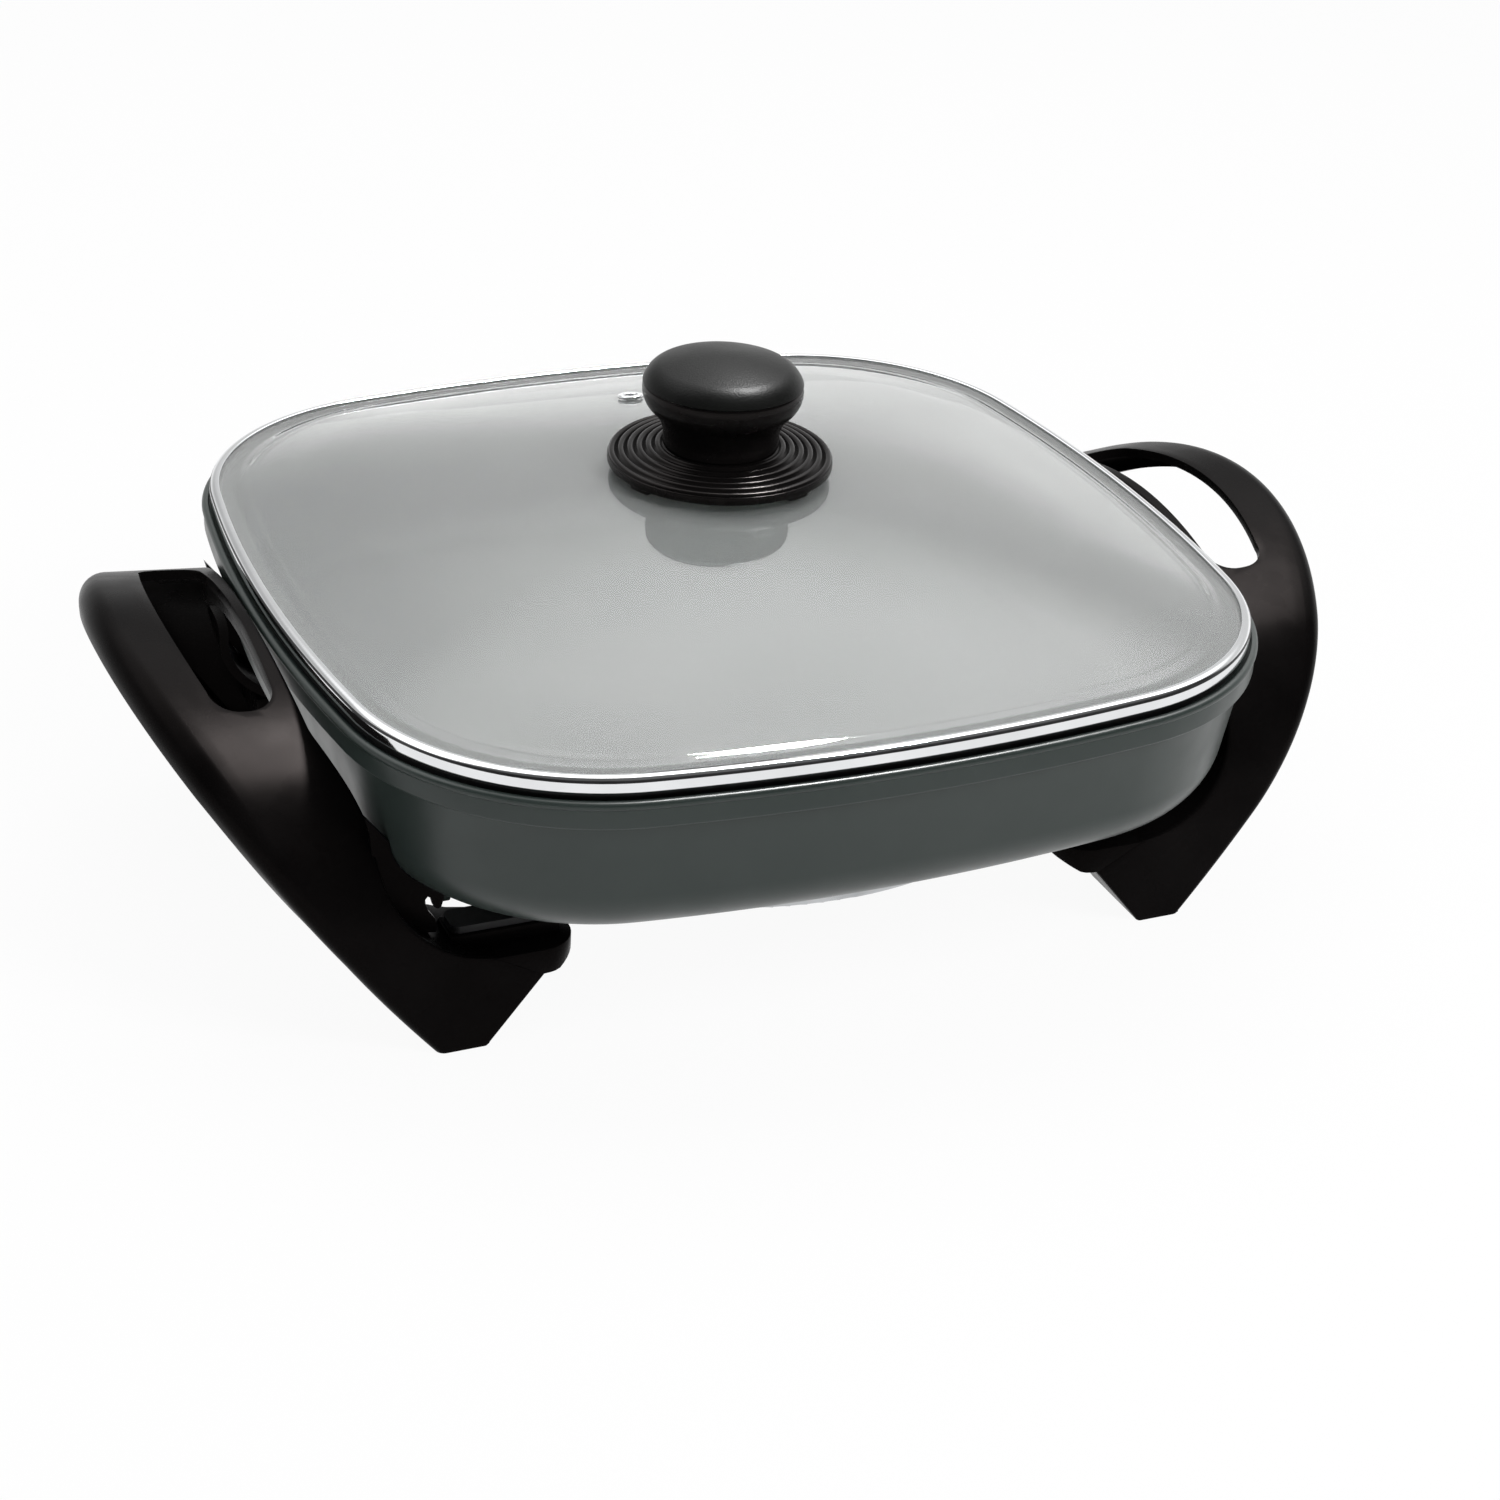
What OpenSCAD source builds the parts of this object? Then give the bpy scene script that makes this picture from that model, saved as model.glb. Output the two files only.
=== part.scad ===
// Electric skillet: cast pan on two arched handle-legs, with a lift-off domed glass lid.
// Millimetres. Z is up, the feet stand on z = 0, the front faces -Y, the handles are at +X and -X.

/* [Outline] */
// Half the width of the lid rim, across the middle of a side
lid_half = 157; // [150:0.5:163]
// Radius of the four corners, at the lid rim
corner_radius = 81; // [74:1:90]
// Radius of the four slightly bowed sides, at the lid rim
side_radius = 617.75; // [500:0.25:1200]

/* [Pan] */
// Height of the pan's flat underside above the table
pan_bottom_z = 52; // [50:0.5:56]
// Depth of the pan, outside
pan_depth = 54.3; // [52:0.1:58]
// How far the pan's rim stands out beyond the lid rim
rim_overhang = 2.8; // [2:0.1:4]
// Thickness of the rounded lip at the top of the pan
lip_height = 2.9; // [2.4:0.1:3.4]
// Height of the plain band under the lip
band_height = 6.2; // [4:0.1:8]
// How far the wall steps in under the band
band_step = 2.8; // [1.5:0.1:3.5]
// Lean of the wall from upright, in degrees
wall_draft = 9; // [5:0.5:12]
// Thickness of the wall
wall_thickness = 3.6; // [3:0.1:4.4]
// Thickness of the floor
floor_thickness = 4; // [3.5:0.1:5]
// Radius of the outer corner between wall and floor
bottom_radius = 22; // [18:0.5:26]
// Depth of the step in the lip that the lid stands in
ledge_depth = 1.5; // [1:0.1:2]
// How far the screw bosses for the legs hang below the floor
leg_boss_drop = 13.5; // [12:0.5:15]
// Radius of the screw bosses for the legs
leg_boss_radius = 8; // [7:0.5:9]
// Thickness of the cast ribs that locate the legs
rib_thickness = 4; // [3:0.5:5]
// How far the ribs hang below the floor
rib_drop = 9; // [7:0.5:11]

/* [Lid] */
// Height of the steel band round the glass
band_rim_height = 4.8; // [4.4:0.1:5.6]
// Width of the steel band's upper and lower flanges
band_rim_width = 4; // [4:0.5:8]
// Thickness of the steel band
band_rim_steel = 0.7; // [0.5:0.1:0.9]
// Gap between the steel band and the pan's lip
lid_gap = 1.9; // [1.5:0.1:2.5]
// Thickness of the glass
glass_thickness = 3.2; // [2.8:0.1:3.3]
// Height of the top of the glass above the top of the steel band
dome_height = 24.5; // [20:0.5:30]
// Height of the pressed shoulder inside the rim
shoulder_height = 3; // [3:0.5:7]
// Distance of the steam vent behind the knob
vent_distance = 81; // [70:1:95]
// Radius of the steam vent's bore
vent_radius = 2.2; // [1.8:0.1:2.6]

/* [Knob] */
// Radius of the ridged skirt
skirt_radius = 37.4; // [34:0.2:40]
// Height of the skirt's edge
skirt_edge = 4; // [3:0.2:5]
// Number of round ridges on the skirt
ridge_count = 6; // [4:1:7]
// Radius of the knob's waist
waist_radius = 19.2; // [17.5:0.1:20.5]
// Largest radius of the cap
cap_radius = 26.9; // [25:0.1:29]
// Radius of the cap's rounded shoulder
cap_shoulder = 9; // [7:0.5:11]
// Radius of the flat dome on top of the cap
cap_dome_radius = 65; // [50:5:90]
// Height of the knob from the top of the glass
knob_height = 39.5; // [38:0.5:44]

/* [Handles] */
// How far the handles stand out beyond the pan's rim
handle_projection = 50.7; // [44:0.1:56]
// Height of the top of the grip, at its middle
handle_top_z = 110; // [106:0.5:113]
// Rise of the top towards its outer edge, in degrees
grip_tilt = 5; // [0:0.5:8]
// Radius of the crown along the top, front to back
crown_radius = 150; // [120:5:250]
// Half the width of a handle-leg, front to back
leg_half = 106.5; // [104:0.5:110]
// Bend radius where the grip turns down into the legs
bend_radius = 64; // [58:1:70]
// Gap between a handle and the pan's rim
handle_gap = 1.5; // [1:0.1:2.5]
// Wall thickness of the moulding
moulding_wall = 3.2; // [2.6:0.1:3.8]
// Radius of the rolled outer edge at the grip
grip_roll = 8; // [6:0.5:9]
// Radius of the rolled outer edge at the foot
foot_roll = 3; // [2:0.5:5]
// Depth of the outer edge at the grip
grip_depth = 10; // [9:0.5:12]
// Depth of the inner lip along the legs
inner_lip_depth = 32; // [28:0.5:34]
// Width of the hand hole at its ends
hole_width = 20.2; // [18:0.2:22]
// Half the length of the hand hole
hole_half_length = 53; // [48:0.5:58]
// How far the hand hole bows outwards in the middle
hole_bow = 4.4; // [2:0.2:6]
// Distance of the foot's outer corner from the middle
foot_outer_x = 132.4; // [130:0.2:138]
// Width of the foot
foot_width = 16.6; // [14:0.2:19]
// Radius of the pocket in the leg that the pan's corner lies in
pocket_radius = 38.5; // [36:0.5:42]
// Distance of the inner end of the mounting tab from the middle
tab_end_x = 85.5; // [82:0.5:87]
// Thickness of the mounting tab
tab_height = 8.8; // [8:0.1:10]
// Length of the mounting tab, front to back
tab_length = 24; // [22:0.5:27]
// Distance of a leg screw from the tab's inner end
leg_screw_inset = 10.5; // [9:0.5:12]
// Distance of a leg screw from the leg's outer face
leg_screw_setback = 15.5; // [14.5:0.5:16.5]
// Thickness of the steel plate on each tab
plate_thickness = 2.5; // [2:0.1:3]
// Height of the pad that lifts the plate off the tab
pad_height = 4.7; // [4:0.1:5]

/* [Heater] */
// Outer radius of the ring that carries the element
ring_outer = 118; // [114:0.5:119]
// Inner radius of the ring
ring_inner = 92; // [88:0.5:96]
// Height of the ring
ring_height = 15.5; // [14.5:0.5:17]
// Radius of the tubular element
element_radius = 3.3; // [3:0.1:3.6]
// Half the distance between the two terminal pins
pin_half_pitch = 16; // [15:0.5:17]
// Radius of the terminal pins
pin_radius = 3; // [2.4:0.1:3.2]
// Bore radius of the thermostat sleeve
sleeve_bore = 4; // [3.6:0.1:4.4]
// Length of the thermostat sleeve
sleeve_length = 52; // [48:1:56]

/* [Fasteners] */
// Radius of a leg screw's shank
leg_screw_radius = 2.4; // [2:0.1:2.5]
// Radius of a leg screw's head
leg_head_radius = 4.4; // [4:0.1:4.6]
// Radius of a guard screw's shank
guard_screw_radius = 1.9; // [1.5:0.1:2]
// Radius of the lid screw's shank
lid_screw_radius = 2.4; // [2:0.1:2.6]
// Radius of the lid screw's head
lid_head_radius = 4.6; // [4:0.1:5]

/* [Hidden] */
$fn = 64;

black_phenolic = [0.08, 0.075, 0.075];
pan_grey = [0.25, 0.29, 0.28];
bare_metal = [0.78, 0.79, 0.79];
steel = [0.7, 0.71, 0.72];
brass = [0.72, 0.58, 0.3];
ceramic = [0.88, 0.86, 0.8];
silicone = [0.2, 0.2, 0.2];
smoke_glass = [0.75, 0.8, 0.78, 0.35];

fit = 0.05;           // radial clearance of parts that are fitted together
seat = 0.3;           // gap where a curved face lies next to another piece
overlap = 1;          // how far solids of one piece run into each other
big = 400;

// ---- The rounded square that the pan, the lid and the handles share ----

// The corners' centres lie on the diagonals, where the corner arcs run smoothly into the sides
side_centre = side_radius - lid_half;
corner_centre = (sqrt(2 * pow(side_radius - corner_radius, 2) - pow(side_centre, 2)) - side_centre) / 2;

// Points beyond the outline on the two lines where a corner arc starts and ends
join_reach = 0.25;
join_far = corner_centre + join_reach * (corner_centre + side_centre);
join_near = corner_centre * (1 + join_reach);
side_wedge = [
  [corner_centre, -corner_centre], [join_far, -join_near], [join_far, join_near], [corner_centre, corner_centre]
];
corner_wedge = [[corner_centre, corner_centre], [join_far, join_near], [join_far, join_far], [join_near, join_far]];

// x of the outline, moved out by "grow", at a distance y from the middle of a side
function side_end(grow) = (side_radius + grow) * corner_centre / (side_radius - corner_radius);
function outline_x(y, grow) =
  abs(y) < side_end(grow)
  ? sqrt(pow(side_radius + grow, 2) - y * y) - side_centre
  : corner_centre + sqrt(pow(corner_radius + grow, 2) - pow(abs(y) - corner_centre, 2));

// Distance from the middle to the outline in the direction "a"
function outline_reach(a, grow) =
  let (b = abs(((a + 45) % 90) - 45))
  b < atan2(side_end(grow), outline_x(side_end(grow), grow))
  ? sqrt(pow(side_radius + grow, 2) - pow(side_centre * sin(b), 2)) - side_centre * cos(b)
  : corner_centre * (cos(b) + sin(b))
    + sqrt(pow(corner_radius + grow, 2) - pow(corner_centre * (cos(b) - sin(b)), 2));

// The outline as a flat shape, moved out by "grow"
module outline_shape(grow) {
  translate([-corner_centre, -corner_centre]) square(2 * corner_centre);
  for (quarter = [0:3]) rotate(90 * quarter) {
    intersection() {
      translate([corner_centre, corner_centre]) circle(corner_radius + grow);
      polygon(corner_wedge);
    }
    intersection() {
      translate([-side_centre, 0]) circle(side_radius + grow, $fn = 720);
      polygon(side_wedge);
    }
  }
}

// Sweeps a section round the outline. In the section x = 0 is the outline and x > 0 is outside it
module sweep_round_outline() {
  for (quarter = [0:3]) rotate(90 * quarter) {
    intersection() {
      translate([-side_centre, 0]) rotate_extrude($fn = 720) translate([side_radius, 0]) children();
      linear_extrude(big) polygon(side_wedge);
    }
    intersection() {
      translate([corner_centre, corner_centre]) rotate_extrude($fn = 96)
        translate([corner_radius, 0]) children();
      linear_extrude(big) polygon(corner_wedge);
    }
  }
}

// ---- Pan ----

rim_z = pan_bottom_z + pan_depth;
rim_out = rim_overhang;
band_top_z = rim_z - lip_height * 0.75;
band_bottom_z = rim_z - lip_height - band_height;
band_out = rim_out - 0.6;
wall_out = rim_out - band_step - 0.6;
floor_z = pan_bottom_z + floor_thickness;
cavity_out = wall_out - wall_thickness / cos(wall_draft);
inner_radius = bottom_radius - wall_thickness;
core_in = -62;
ledge_z = rim_z - ledge_depth;
ledge_out = 0.4;

// Section of a bowl: a leaning wall that runs into the floor round a corner
module bowl_section(top_out, top_z, radius, base_z) {
  corner_z = base_z + radius;
  tangent_z = corner_z - radius * sin(wall_draft);
  tangent_out = top_out - (top_z - tangent_z) * tan(wall_draft);
  corner_out = tangent_out - radius * cos(wall_draft);
  polygon([
    [core_in, base_z], [corner_out, base_z], [corner_out, corner_z],
    [tangent_out, tangent_z], [top_out, top_z], [core_in, top_z]
  ]);
  translate([corner_out, corner_z]) circle(radius);
}

module pan_section() {
  rise = rim_z + overlap - band_bottom_z;
  difference() {
    union() {
      bowl_section(wall_out, band_bottom_z, bottom_radius, pan_bottom_z);
      translate([core_in, band_bottom_z]) square([band_out - core_in, band_top_z - band_bottom_z]);
      translate([core_in, rim_z - lip_height])
        square([rim_out - lip_height / 2 - core_in, lip_height]);
      translate([rim_out - lip_height / 2, rim_z - lip_height / 2]) circle(lip_height / 2, $fn = 32);
    }
    bowl_section(cavity_out + rise * tan(wall_draft), band_bottom_z + rise, inner_radius, floor_z);
    translate([core_in, ledge_z]) square([ledge_out - core_in, ledge_depth + overlap]);
  }
}

leg_screw_x = tab_end_x + leg_screw_inset;
leg_screw_y = leg_half - leg_screw_setback;
leg_boss_z = pan_bottom_z - leg_boss_drop;
leg_screw_grip = 1;   // how far the leg screws reach into the floor
block_end_x = ring_outer + 2;
guard_half = 30;
guard_screw_x = block_end_x + 9;
guard_screw_y = guard_half + 9;
guard_boss_radius = 6;
guard_boss_drop = 6;
guard_boss_z = pan_bottom_z - guard_boss_drop;
guard_screw_grip = 7;
rib_x = foot_outer_x - 8.4;
rib_low_z = pan_bottom_z - rib_drop;
rib_front_y = leg_half - 10.5;
rib_length = 44;
rib_notch = 2.5;
rib_notch_y = rib_front_y - 5;

module pan_body() {
  color(pan_grey) difference() {
    union() {
      sweep_round_outline() pan_section();
      translate([0, 0, pan_bottom_z]) linear_extrude(floor_thickness)
        outline_shape(core_in + overlap);
      for (x = [0, 1], y = [0, 1]) mirror([x, 0, 0]) mirror([0, y, 0]) {
        translate([leg_screw_x, leg_screw_y, leg_boss_z])
          cylinder(r = leg_boss_radius, h = leg_boss_drop + overlap);
        // rib that drops behind the leg's inner lip, with a notch near its outer end
        difference() {
          translate([rib_x - rib_thickness / 2, rib_front_y - rib_length, rib_low_z])
            cube([rib_thickness, rib_length, rib_drop + floor_thickness / 2]);
          translate([rib_x - rib_thickness, rib_notch_y - rib_notch / 2, rib_low_z - overlap])
            cube([2 * rib_thickness, rib_notch, 2 * rib_notch]);
        }
      }
      for (y = [-1, 1]) translate([guard_screw_x, y * guard_screw_y, guard_boss_z])
        cylinder(r = guard_boss_radius, h = guard_boss_drop + overlap);
    }
    for (x = [-1, 1], y = [-1, 1]) translate([x * leg_screw_x, y * leg_screw_y, leg_boss_z - overlap])
      cylinder(r = leg_screw_radius + fit, h = leg_boss_drop + leg_screw_grip + 2 * overlap);
    for (y = [-1, 1]) translate([guard_screw_x, y * guard_screw_y, guard_boss_z - overlap])
      cylinder(r = guard_screw_radius + fit, h = guard_screw_grip + 2 * overlap);
  }
}

// ---- Heater under the pan ----

ring_bottom_z = pan_bottom_z - ring_height;
element_z = pan_bottom_z - ring_height * 0.54;
element_loop = (ring_outer + ring_inner) / 2;
element_end_x = block_end_x + 2;
element_gap = asin(pin_half_pitch / element_loop);
cold_leg_extra = 0.4;

// The element as a round bar: an open loop and two thicker cold legs out of the block
module element_bar(clearance) {
  leg_radius = element_radius + cold_leg_extra + clearance;
  leg_start_x = element_loop * cos(element_gap) - element_radius;
  translate([0, 0, element_z]) {
    rotate(element_gap) rotate_extrude(angle = 360 - 2 * element_gap, $fn = 128)
      translate([element_loop, 0]) circle(element_radius + clearance, $fn = 32);
    for (y = [-1, 1]) translate([leg_start_x, y * pin_half_pitch, 0]) rotate([0, 90, 0])
      cylinder(r = leg_radius, h = element_end_x - leg_start_x, $fn = 32);
  }
}

block_half = 25;
pocket_half = 9;
pocket_wall = 4;
sleeve_start_x = block_end_x + 4 - sleeve_length;
sleeve_outer = sleeve_bore + 0.6;

module heater_ring() {
  edge = 2.5;
  step = 1;
  width = ring_outer - ring_inner;
  color(bare_metal) difference() {
    union() {
      translate([0, 0, ring_bottom_z]) rotate_extrude($fn = 128) translate([ring_inner, 0]) {
        translate([0, edge]) square([width, ring_height - edge]);
        translate([edge, 0]) square([width - 2 * edge, ring_height]);
        for (x = [edge, width - edge]) translate([x, edge]) circle(edge, $fn = 32);
      }
      // block where the element's two ends and the thermostat sleeve come out
      translate([ring_inner + edge, -block_half, ring_bottom_z + step])
        cube([block_end_x - ring_inner - edge, 2 * block_half, ring_height - step]);
      translate([sleeve_start_x - pocket_wall, -pocket_half, ring_bottom_z + step])
        cube([ring_inner - sleeve_start_x + 2 * pocket_wall, 2 * pocket_half, ring_height - step]);
    }
    element_bar(fit);
    translate([sleeve_start_x, 0, element_z]) rotate([0, 90, 0])
      cylinder(r = sleeve_outer + fit, h = sleeve_length + overlap);
  }
}

module heating_element() {
  color(steel) element_bar(0);
}

pin_length = 27;
pin_end_x = element_end_x + pin_length;
pin_collar = 7;
pin_collar_radius = pin_radius + 0.4;

// Pins with a collar that the insulators sit on
module terminal_pins() {
  tip = 1;
  color(steel) for (y = [-1, 1]) translate([element_end_x, y * pin_half_pitch, element_z])
    rotate([0, 90, 0]) rotate_extrude() polygon([
      [0, 0], [pin_collar_radius, 0], [pin_collar_radius, pin_collar], [pin_radius, pin_collar],
      [pin_radius, pin_length - tip], [pin_radius - tip, pin_length], [0, pin_length]
    ]);
}

module terminal_insulators() {
  flange = 3;
  length = pin_collar - 1;
  color(ceramic) for (y = [-1, 1]) translate([element_end_x, y * pin_half_pitch, element_z])
    rotate([0, 90, 0]) difference() {
      union() {
        cylinder(r = pin_radius + flange, h = flange);
        cylinder(r = pin_radius + 0.6 * flange, h = length);
      }
      translate([0, 0, -overlap]) cylinder(r = pin_collar_radius + fit, h = length + 2 * overlap);
    }
}

module thermostat_sleeve() {
  closed_end = 3;
  collar = 1.5;
  color(steel) translate([sleeve_start_x, 0, element_z]) rotate([0, 90, 0]) difference() {
    union() {
      cylinder(r = sleeve_outer, h = sleeve_length);
      translate([0, 0, sleeve_length - 4]) cylinder(r = sleeve_outer + collar, h = collar);
    }
    translate([0, 0, closed_end]) cylinder(r = sleeve_bore, h = sleeve_length);
  }
}

// ---- Guard round the terminals ----

guard_wall = 2.4;
guard_height = 18.5;
guard_ear = 3;
guard_start_x = block_end_x + seat;
guard_end_x = pin_end_x + 5;
guard_low_z = pan_bottom_z - guard_height;
guard_corner = 6;

// Open-bottomed tunnel, seen from its end; x is front to back
module guard_arch(inset) {
  half = guard_half - inset;
  radius = guard_corner - inset;
  high = pan_bottom_z - guard_low_z - inset;
  translate([-half, -inset * overlap]) square([2 * half, high - radius + inset * overlap]);
  translate([-half + radius, 0]) square([2 * (half - radius), high]);
  for (side = [-1, 1]) translate([side * (half - radius), high - radius]) circle(radius, $fn = 32);
}

module probe_guard() {
  color(black_phenolic) difference() {
    union() {
      translate([guard_start_x, 0, guard_low_z]) rotate([90, 0, 90]) difference() {
        linear_extrude(guard_end_x - guard_start_x) guard_arch(0);
        translate([0, 0, -overlap]) linear_extrude(guard_end_x - guard_start_x + 2 * overlap)
          guard_arch(guard_wall);
      }
      for (y = [0, 1]) mirror([0, y, 0]) translate([guard_screw_x, 0, guard_boss_z - guard_ear]) {
        translate([0, guard_screw_y, 0]) cylinder(r = guard_boss_radius, h = guard_ear);
        translate([-guard_boss_radius, guard_half - guard_wall / 2, 0])
          cube([2 * guard_boss_radius, guard_screw_y - guard_half + guard_wall / 2, guard_ear]);
      }
    }
    for (y = [-1, 1]) translate([guard_screw_x, y * guard_screw_y, guard_boss_z - guard_ear - overlap])
      cylinder(r = guard_screw_radius + 4 * fit, h = guard_ear + 2 * overlap);
  }
}

// Round-headed screw pointing up, with its head under z = 0
module screw(shank, head, length) {
  head_height = 0.65 * head;
  slot = 1;
  difference() {
    rotate_extrude() polygon([
      [0, -head_height], [0.8 * head, -head_height], [head, -head_height / 2], [head, 0],
      [shank, 0], [shank, length], [0, length]
    ]);
    translate([-head, -slot / 2, -head_height - overlap]) cube([2 * head, slot, overlap + slot]);
  }
}

module guard_screws() {
  color(steel) for (y = [-1, 1]) translate([guard_screw_x, y * guard_screw_y, guard_boss_z - guard_ear])
    screw(guard_screw_radius, 1.9 * guard_screw_radius, guard_ear + guard_screw_grip);
}

// ---- Handle-legs: one arched moulding on each side ----

handle_reach = lid_half + rim_overhang + handle_projection;
handle_clear = rim_overhang + handle_gap;
tilt_middle_x = handle_reach - 32;

// The arch seen from the side: a crowned top, a bend and an upright leg
bend_y = leg_half - bend_radius;
crown_angle = asin(bend_y / (crown_radius - bend_radius));
crown_z = handle_top_z - crown_radius;
bend_z = crown_z + (crown_radius - bend_radius) * cos(crown_angle);

// Length along the arch, from the middle of the grip to the end of the crown and to the foot
crown_length = crown_radius * crown_angle * PI / 180;
arch_length = crown_length + bend_radius * (90 - crown_angle) * PI / 180 + bend_z;

// Place on the arch where it slopes by "a" degrees: [y, z, slope, share of the way to the foot]
function arch_at(a) = a < crown_angle
  ? [crown_radius * sin(a), crown_z + crown_radius * cos(a), a, crown_length * a / crown_angle / arch_length]
  : [bend_y + bend_radius * sin(a), bend_z + bend_radius * cos(a), a,
    (crown_length + bend_radius * (a - crown_angle) * PI / 180) / arch_length];
function leg_at(z) = [leg_half, z, 90, 1 - z / arch_length];

// Outer edge: it draws in more and more on its way from the grip to the foot
function outer_edge(p) = handle_reach - (handle_reach - foot_outer_x) * pow(p[3], 2);

// Inner edge: along the pan's rim, then round the pocket that the pan's corner lies in
pocket_x = foot_outer_x - 22.9;
plate_z = leg_boss_z - plate_thickness;
tab_top_z = plate_z - pad_height;
tab_under_z = tab_top_z - tab_height;
pocket_z = tab_top_z + pocket_radius;
pocket_end = 84;
function pocket_edge(z) = z > pocket_z ? handle_reach
  : pocket_x + sqrt(pow(pocket_radius, 2) - pow(pocket_z - z, 2));

// Below the pocket: inside the tab, then along the foot's inner edge
foot_inner_x = foot_outer_x - foot_width;
notch_x = foot_inner_x - 18.5;
pocket_low_z = pocket_z - pocket_radius * sin(pocket_end);
pocket_low_x = pocket_edge(pocket_low_z);
function foot_edge(z) = z > tab_under_z
  ? notch_x + (pocket_low_x - notch_x) * (z - tab_under_z) / (pocket_low_z - tab_under_z)
  : notch_x + (foot_inner_x - notch_x) * (tab_under_z - z) / tab_under_z;
function inner_edge(p) = p[1] < pocket_low_z ? foot_edge(p[1])
  : min(outline_x(p[0], handle_clear), pocket_edge(p[1]));

// Stations from the middle of the grip down to the foot
stations = concat(
  [for (i = [0:4]) arch_at(crown_angle * i / 4)],
  [for (i = [1:10]) arch_at(crown_angle + (90 - crown_angle) * i / 10)],
  [for (i = [0:8]) let (z = pocket_z - pocket_radius * sin(pocket_end * i / 8)) if (z < bend_z - 1) leg_at(z)],
  [for (z = [(pocket_low_z + tab_under_z) / 2, tab_under_z, tab_under_z / 2, 0]) leg_at(z)]
);

// Channel section at a station, as [across, depth]; depth is measured in from the outer face
function channel(p) =
  let (
    x0 = inner_edge(p), x1 = outer_edge(p), turn = p[2] / 90,
    h0 = x0 + moulding_wall, h1 = x1 - moulding_wall,
    roll0 = 1.2,
    roll1 = grip_roll - (grip_roll - foot_roll) * pow(p[3], 4),
    inner1 = max(roll1 - moulding_wall, 0.4),
    lip_depth = 0.8 * grip_depth,
    depth0 = lip_depth + (inner_lip_depth - lip_depth) * pow(turn, 1.6),
    depth1 = grip_depth * (1 + 0.2 * turn)
  )
  concat(
    [[x0, depth0]],
    [for (i = [0:2]) [x0 + roll0 * (1 - cos(45 * i)), roll0 * (1 - sin(45 * i))]],
    [[(x0 + x1) / 2, 0]],
    [for (i = [0:5]) [x1 - roll1 * (1 - sin(18 * i)), roll1 * (1 - cos(18 * i))]],
    [[x1, depth1], [h1, depth1]],
    [for (i = [2:-1:0]) [h1 - inner1 * (1 - sin(45 * i)), moulding_wall + inner1 * (1 - cos(45 * i))]],
    [[(h0 + h1) / 2, moulding_wall], [h0, moulding_wall], [h0, depth0]]
  );

// A station's section as points in space; "side" is -1 for the front half
function station_points(p, side) = [
  for (q = channel(p))
    let (d = q[1] - (q[0] - tilt_middle_x) * tan(grip_tilt) * cos(p[2]))
    [q[0], side * (p[0] - d * sin(p[2])), p[1] - d * cos(p[2])]
];

module handle_shell() {
  last = len(stations) - 1;
  rings = concat(
    [for (i = [last:-1:1]) station_points(stations[i], -1)],
    [for (i = [0:last]) station_points(stations[i], 1)]
  );
  n = len(rings[0]);
  points = [for (ring = rings) for (p = ring) p];
  faces = concat(
    [[for (i = [0:n - 1]) i]],
    [for (r = [0:len(rings) - 2], i = [0:n - 1]) let (a = r * n + i, b = r * n + (i + 1) % n)
      each [[a, a + n, b + n], [a, b + n, b]]],
    [[for (i = [n - 1:-1:0]) (len(rings) - 1) * n + i]]
  );
  polyhedron(points, faces, convexity = 8);
}

hole_margin = 4;
hole_inner_x = lid_half + handle_clear + hole_margin;
hole_corner = 9;
hole_straight = hole_half_length - hole_corner;
hole_bow_radius = (pow(hole_straight, 2) + pow(hole_bow, 2)) / (2 * hole_bow);

// Hand hole, seen from above: a rounded slot whose outer side bows outwards
module hand_hole_shape() {
  translate([hole_inner_x, 0]) {
    for (x = [hole_corner, hole_width - hole_corner], y = [-1, 1])
      translate([x, y * hole_straight]) circle(hole_corner, $fn = 32);
    translate([0, -hole_straight]) square([hole_width, 2 * hole_straight]);
    translate([hole_corner, -hole_half_length]) square([hole_width - 2 * hole_corner, 2 * hole_half_length]);
    intersection() {
      translate([hole_width + hole_bow - hole_bow_radius, 0]) circle(hole_bow_radius, $fn = 360);
      translate([hole_width / 2, -hole_straight]) square([hole_width, 2 * hole_straight]);
    }
  }
}

plate_inner_x = tab_end_x + 4;
plate_length = 36;
plate_front_y = leg_half - 9;
plate_back_y = leg_half - tab_length + 2;
tab_corner = 12;
tab_set_back = 0.1;
tab_outer_x = foot_outer_x + 5;
washer_thickness = 1;
screw_recess = 4;
screw_seat_z = tab_under_z + screw_recess;
screw_post_radius = leg_head_radius + 3.4;
screw_recess_radius = leg_head_radius + 0.6;
foot_floor = 3;

// Solid tab of the front leg, or with "inset" its hollow
module tab_block(inset) {
  front = leg_half - tab_set_back - inset;
  intersection() {
    translate([tab_end_x + inset, -front, tab_under_z - overlap])
      linear_extrude(tab_height + 2 * overlap) {
        radius = tab_corner - inset;
        translate([radius, radius]) circle(radius);
        translate([radius, 0]) square([tab_outer_x - tab_end_x - 2 * inset - radius, tab_length - 2 * inset]);
        translate([0, radius]) square([2 * radius, tab_length - 2 * inset - radius]);
      }
    // the underside rises towards the tab's end
    rotate([90, 0, 0]) linear_extrude(2 * leg_half, center = true) polygon([
      [tab_end_x, tab_under_z + 0.45 * tab_height + inset], [tab_end_x + 7, tab_under_z + inset],
      [tab_outer_x, tab_under_z + inset], [tab_outer_x, tab_top_z - inset], [tab_end_x, tab_top_z - inset]
    ]);
  }
}

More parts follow.
